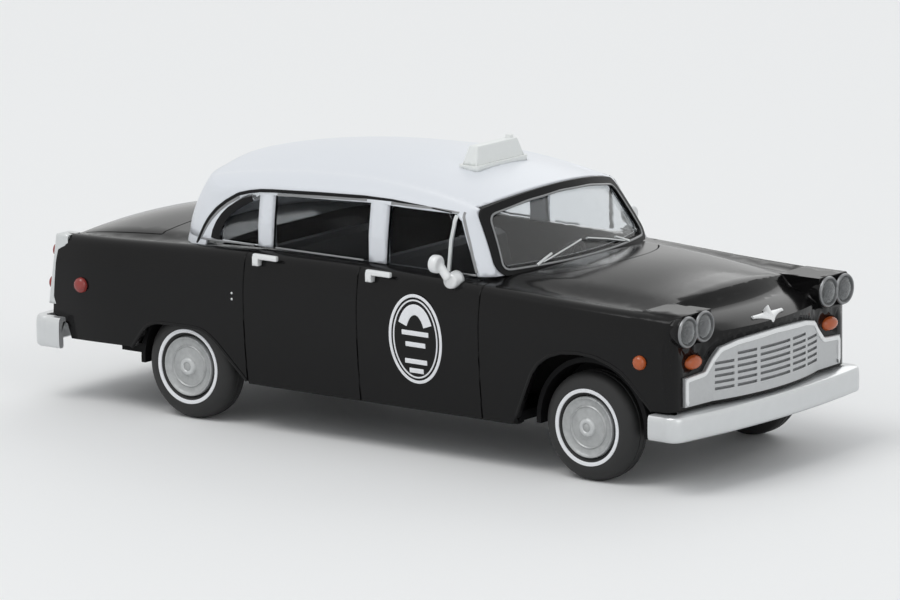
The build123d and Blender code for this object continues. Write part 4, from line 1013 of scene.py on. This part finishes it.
SMOOTH_NODES = {
    "tail_lamp_housing": ("silver", "silver_trim"), "tail_lamp_lens": ("red", "red_lens"),
    "handle_front": ("bright", "silver_trim"), "handle_rear": ("bright", "silver_trim"),
    "door_mirror": ("bright", "silver_trim"), "roof_sign_base": ("sign", "sign_plastic"),
    "roof_sign": ("sign", "sign_plastic"),
    "steering_wheel": ("cabin", "interior_plastic"),
}
NODE_FINISHES = {
    "grille": "plate",
    "axle_pin_front": "steel", "axle_pin_rear": "steel", "chassis_plate": "chassis", "cabin_floor": "cabin",
    "front_bench": "cabin", "rear_bench": "cabin", "dashboard": "cabin",
    "windscreen_glass": "glass", "rear_window_glass": "glass", "side_glass": "pane",
}


class CAB_OT_nodes(bpy.types.Operator):
    """Finishes of the construction's own pieces that show as they are"""

    bl_idname = "cab.nodes"
    bl_label = "Plain Pieces"

    def execute(self, context):
        for name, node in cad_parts.items():
            key = name.removesuffix("_left").removesuffix("_right")
            if key in NODE_FINISHES:
                node.data.materials.clear()
                node.data.materials.append(FINISH[NODE_FINISHES[key]])
            if key in SMOOTH_NODES:
                smooth_copy(name + "_finished", name, *SMOOTH_NODES[key], 0.35, 38.0)
        return {"FINISHED"}


# Soft lamps as name, place in metres, size and power
LIGHTS = (("key", (-0.15, -0.35, 0.75), 0.45, 2.15), ("fill", (0.7, -0.25, 0.35), 0.5, 0.7),
          ("back", (-0.2, 0.7, 0.45), 0.5, 0.88))
BACKGROUND, SKY_LIGHT = (0.87, 0.875, 0.87, 1.0), (0.95, 0.97, 1.0, 1.0)
# Floor's radius in mm, and where it starts and ends to fade out, in metres
FLOOR_RADIUS, FADE = 1500.0, (0.12, 0.9)


def face_up(work):
    """Turns faces that look down."""
    for face in work.faces:
        if face.normal.z < 0:
            face.normal_flip()


class CAB_OT_stage(bpy.types.Operator):
    """Pale floor, soft lamps and the photograph's camera"""

    bl_idname = "cab.stage"
    bl_label = "Stage"

    def execute(self, context):
        self.floor(context.scene.cab_colours.floor)
        self.world()
        for light in LIGHTS:
            self.lamp(*light)
        self.camera()
        context.scene.view_settings.view_transform = "Standard"
        return {"FINISHED"}

    def floor(self, colour):
        """Round floor that fades out into the background."""
        disc = revolved([(0, 0), (FLOOR_RADIUS, 0)], (0, 0, 0), 64, (0, 0, 1))
        mesh = bpy.data.meshes.new("floor")
        mesh.from_pydata(disc.reshape(-1, 3), [], grid_faces(2, 64, False, True).tolist())
        welded(mesh, mesh, 0.001, face_up)
        floor = bpy.data.objects.new("floor", mesh)
        bpy.context.scene.collection.objects.link(floor)
        material = finish_of("floor", colour, 0.7, grain_mm=40.0, tone=0.004, bump_mm=0.01)
        tree = material.node_tree
        shader = tree.nodes["Principled BSDF"]
        shader.inputs["Specular IOR Level"].default_value = 0.15
        length = add_node(tree, "VectorMath", operation="LENGTH")
        fade = add_node(tree, "MapRange", {"From Min": FADE[0], "From Max": FADE[1]},
                        interpolation_type="SMOOTHSTEP")
        clear = add_node(tree, "BsdfTransparent")
        both = add_node(tree, "MixShader")
        wire(tree, (tree.nodes["Texture Coordinate"], "Object", length, 0),
             (length, "Value", fade, "Value"), (fade, "Result", both, "Fac"), (shader, "BSDF", both, 1),
             (clear, "BSDF", both, 2), (both, "Shader", tree.nodes["Material Output"], "Surface"))
        mesh.materials.append(material)

    def world(self):
        """Pale background for camera, glossy and clear rays, and softer light for the rest."""
        world = bpy.data.worlds.new("studio")
        bpy.context.scene.world = world
        world.use_nodes = True
        tree = world.node_tree
        shown = tree.nodes["Background"]
        shown.inputs["Color"].default_value = BACKGROUND
        shown.inputs["Strength"].default_value = 1.0
        light = add_node(tree, "Background", {"Color": SKY_LIGHT, "Strength": 0.62})
        path = add_node(tree, "LightPath")
        first, second = (add_node(tree, "Math", operation="MAXIMUM") for _ in range(2))
        both = add_node(tree, "MixShader")
        wire(tree, (path, "Is Camera Ray", first, 0), (path, "Is Glossy Ray", first, 1),
             (first, 0, second, 0), (path, "Is Transmission Ray", second, 1), (second, 0, both, "Fac"),
             (light, "Background", both, 1), (shown, "Background", both, 2),
             (both, "Shader", tree.nodes["World Output"], "Surface"))

    def lamp(self, name, at, size, power):
        """Square soft lamp aimed at the cab."""
        data = bpy.data.lights.new(name, "AREA")
        data.energy = power
        data.size = size
        made = bpy.data.objects.new(name, data)
        bpy.context.scene.collection.objects.link(made)
        made.location = at
        made.rotation_mode = "QUATERNION"
        made.rotation_quaternion = (-Vector(at)).to_track_quat("-Z", "Y")

    def camera(self):
        """Long lens at the photograph's place, turned by its small roll."""
        azimuth, elevation = math.radians(CAMERA_AZIMUTH), math.radians(CAMERA_ELEVATION)
        roll = math.radians(CAMERA_ROLL)
        right = Vector((math.cos(azimuth), math.sin(azimuth), 0))
        back = Vector((math.sin(azimuth) * math.cos(elevation), -math.cos(azimuth) * math.cos(elevation),
                       math.sin(elevation)))
        up = back.cross(right)
        turned_right = math.cos(roll) * right + math.sin(roll) * up
        turned_up = math.cos(roll) * up - math.sin(roll) * right
        data = bpy.data.cameras.new("camera")
        data.lens = CAMERA_LENS
        data.sensor_width = SENSOR
        made = bpy.data.objects.new("camera", data)
        bpy.context.scene.collection.objects.link(made)
        axes = Matrix((turned_right, turned_up, back)).transposed().to_4x4()
        made.matrix_world = Matrix.Translation(CAMERA_TARGET + back * CAMERA_DISTANCE) @ axes
        bpy.context.scene.camera = made


class CAB_PT_panel(bpy.types.Panel):
    """Settings and steps of the cab's finish"""

    bl_label = "Taxi Cab"
    bl_idname = "CAB_PT_panel"
    bl_space_type = "VIEW_3D"
    bl_region_type = "UI"
    bl_category = "Taxi Cab"

    def draw(self, context):
        layout = self.layout
        for settings in (context.scene.cab_sizes, context.scene.cab_colours):
            box = layout.box()
            for key in settings.__annotations__:
                box.prop(settings, key)
        for step in STEPS:
            layout.operator(step.bl_idname)


STEPS = (CAB_OT_stage, CAB_OT_nodes, CAB_OT_shell, CAB_OT_wheels, CAB_OT_lamps, CAB_OT_bumpers, CAB_OT_trims,
         CAB_OT_badge)
CLASSES = (CabSizes, CabColours, *STEPS, CAB_PT_panel)


def register():
    for each in CLASSES:
        bpy.utils.register_class(each)
    bpy.types.Scene.cab_sizes = bpy.props.PointerProperty(type=CabSizes)
    bpy.types.Scene.cab_colours = bpy.props.PointerProperty(type=CabColours)


def unregister():
    del bpy.types.Scene.cab_colours
    del bpy.types.Scene.cab_sizes
    for each in reversed(CLASSES):
        bpy.utils.unregister_class(each)


def main():
    """Registers the add-on and runs its steps in order."""
    register()
    mix_finishes(bpy.context.scene.cab_colours)
    for step in STEPS:
        group, action = step.bl_idname.split(".")
        getattr(getattr(bpy.ops, group), action)()


if __name__ == "__main__":
    main()
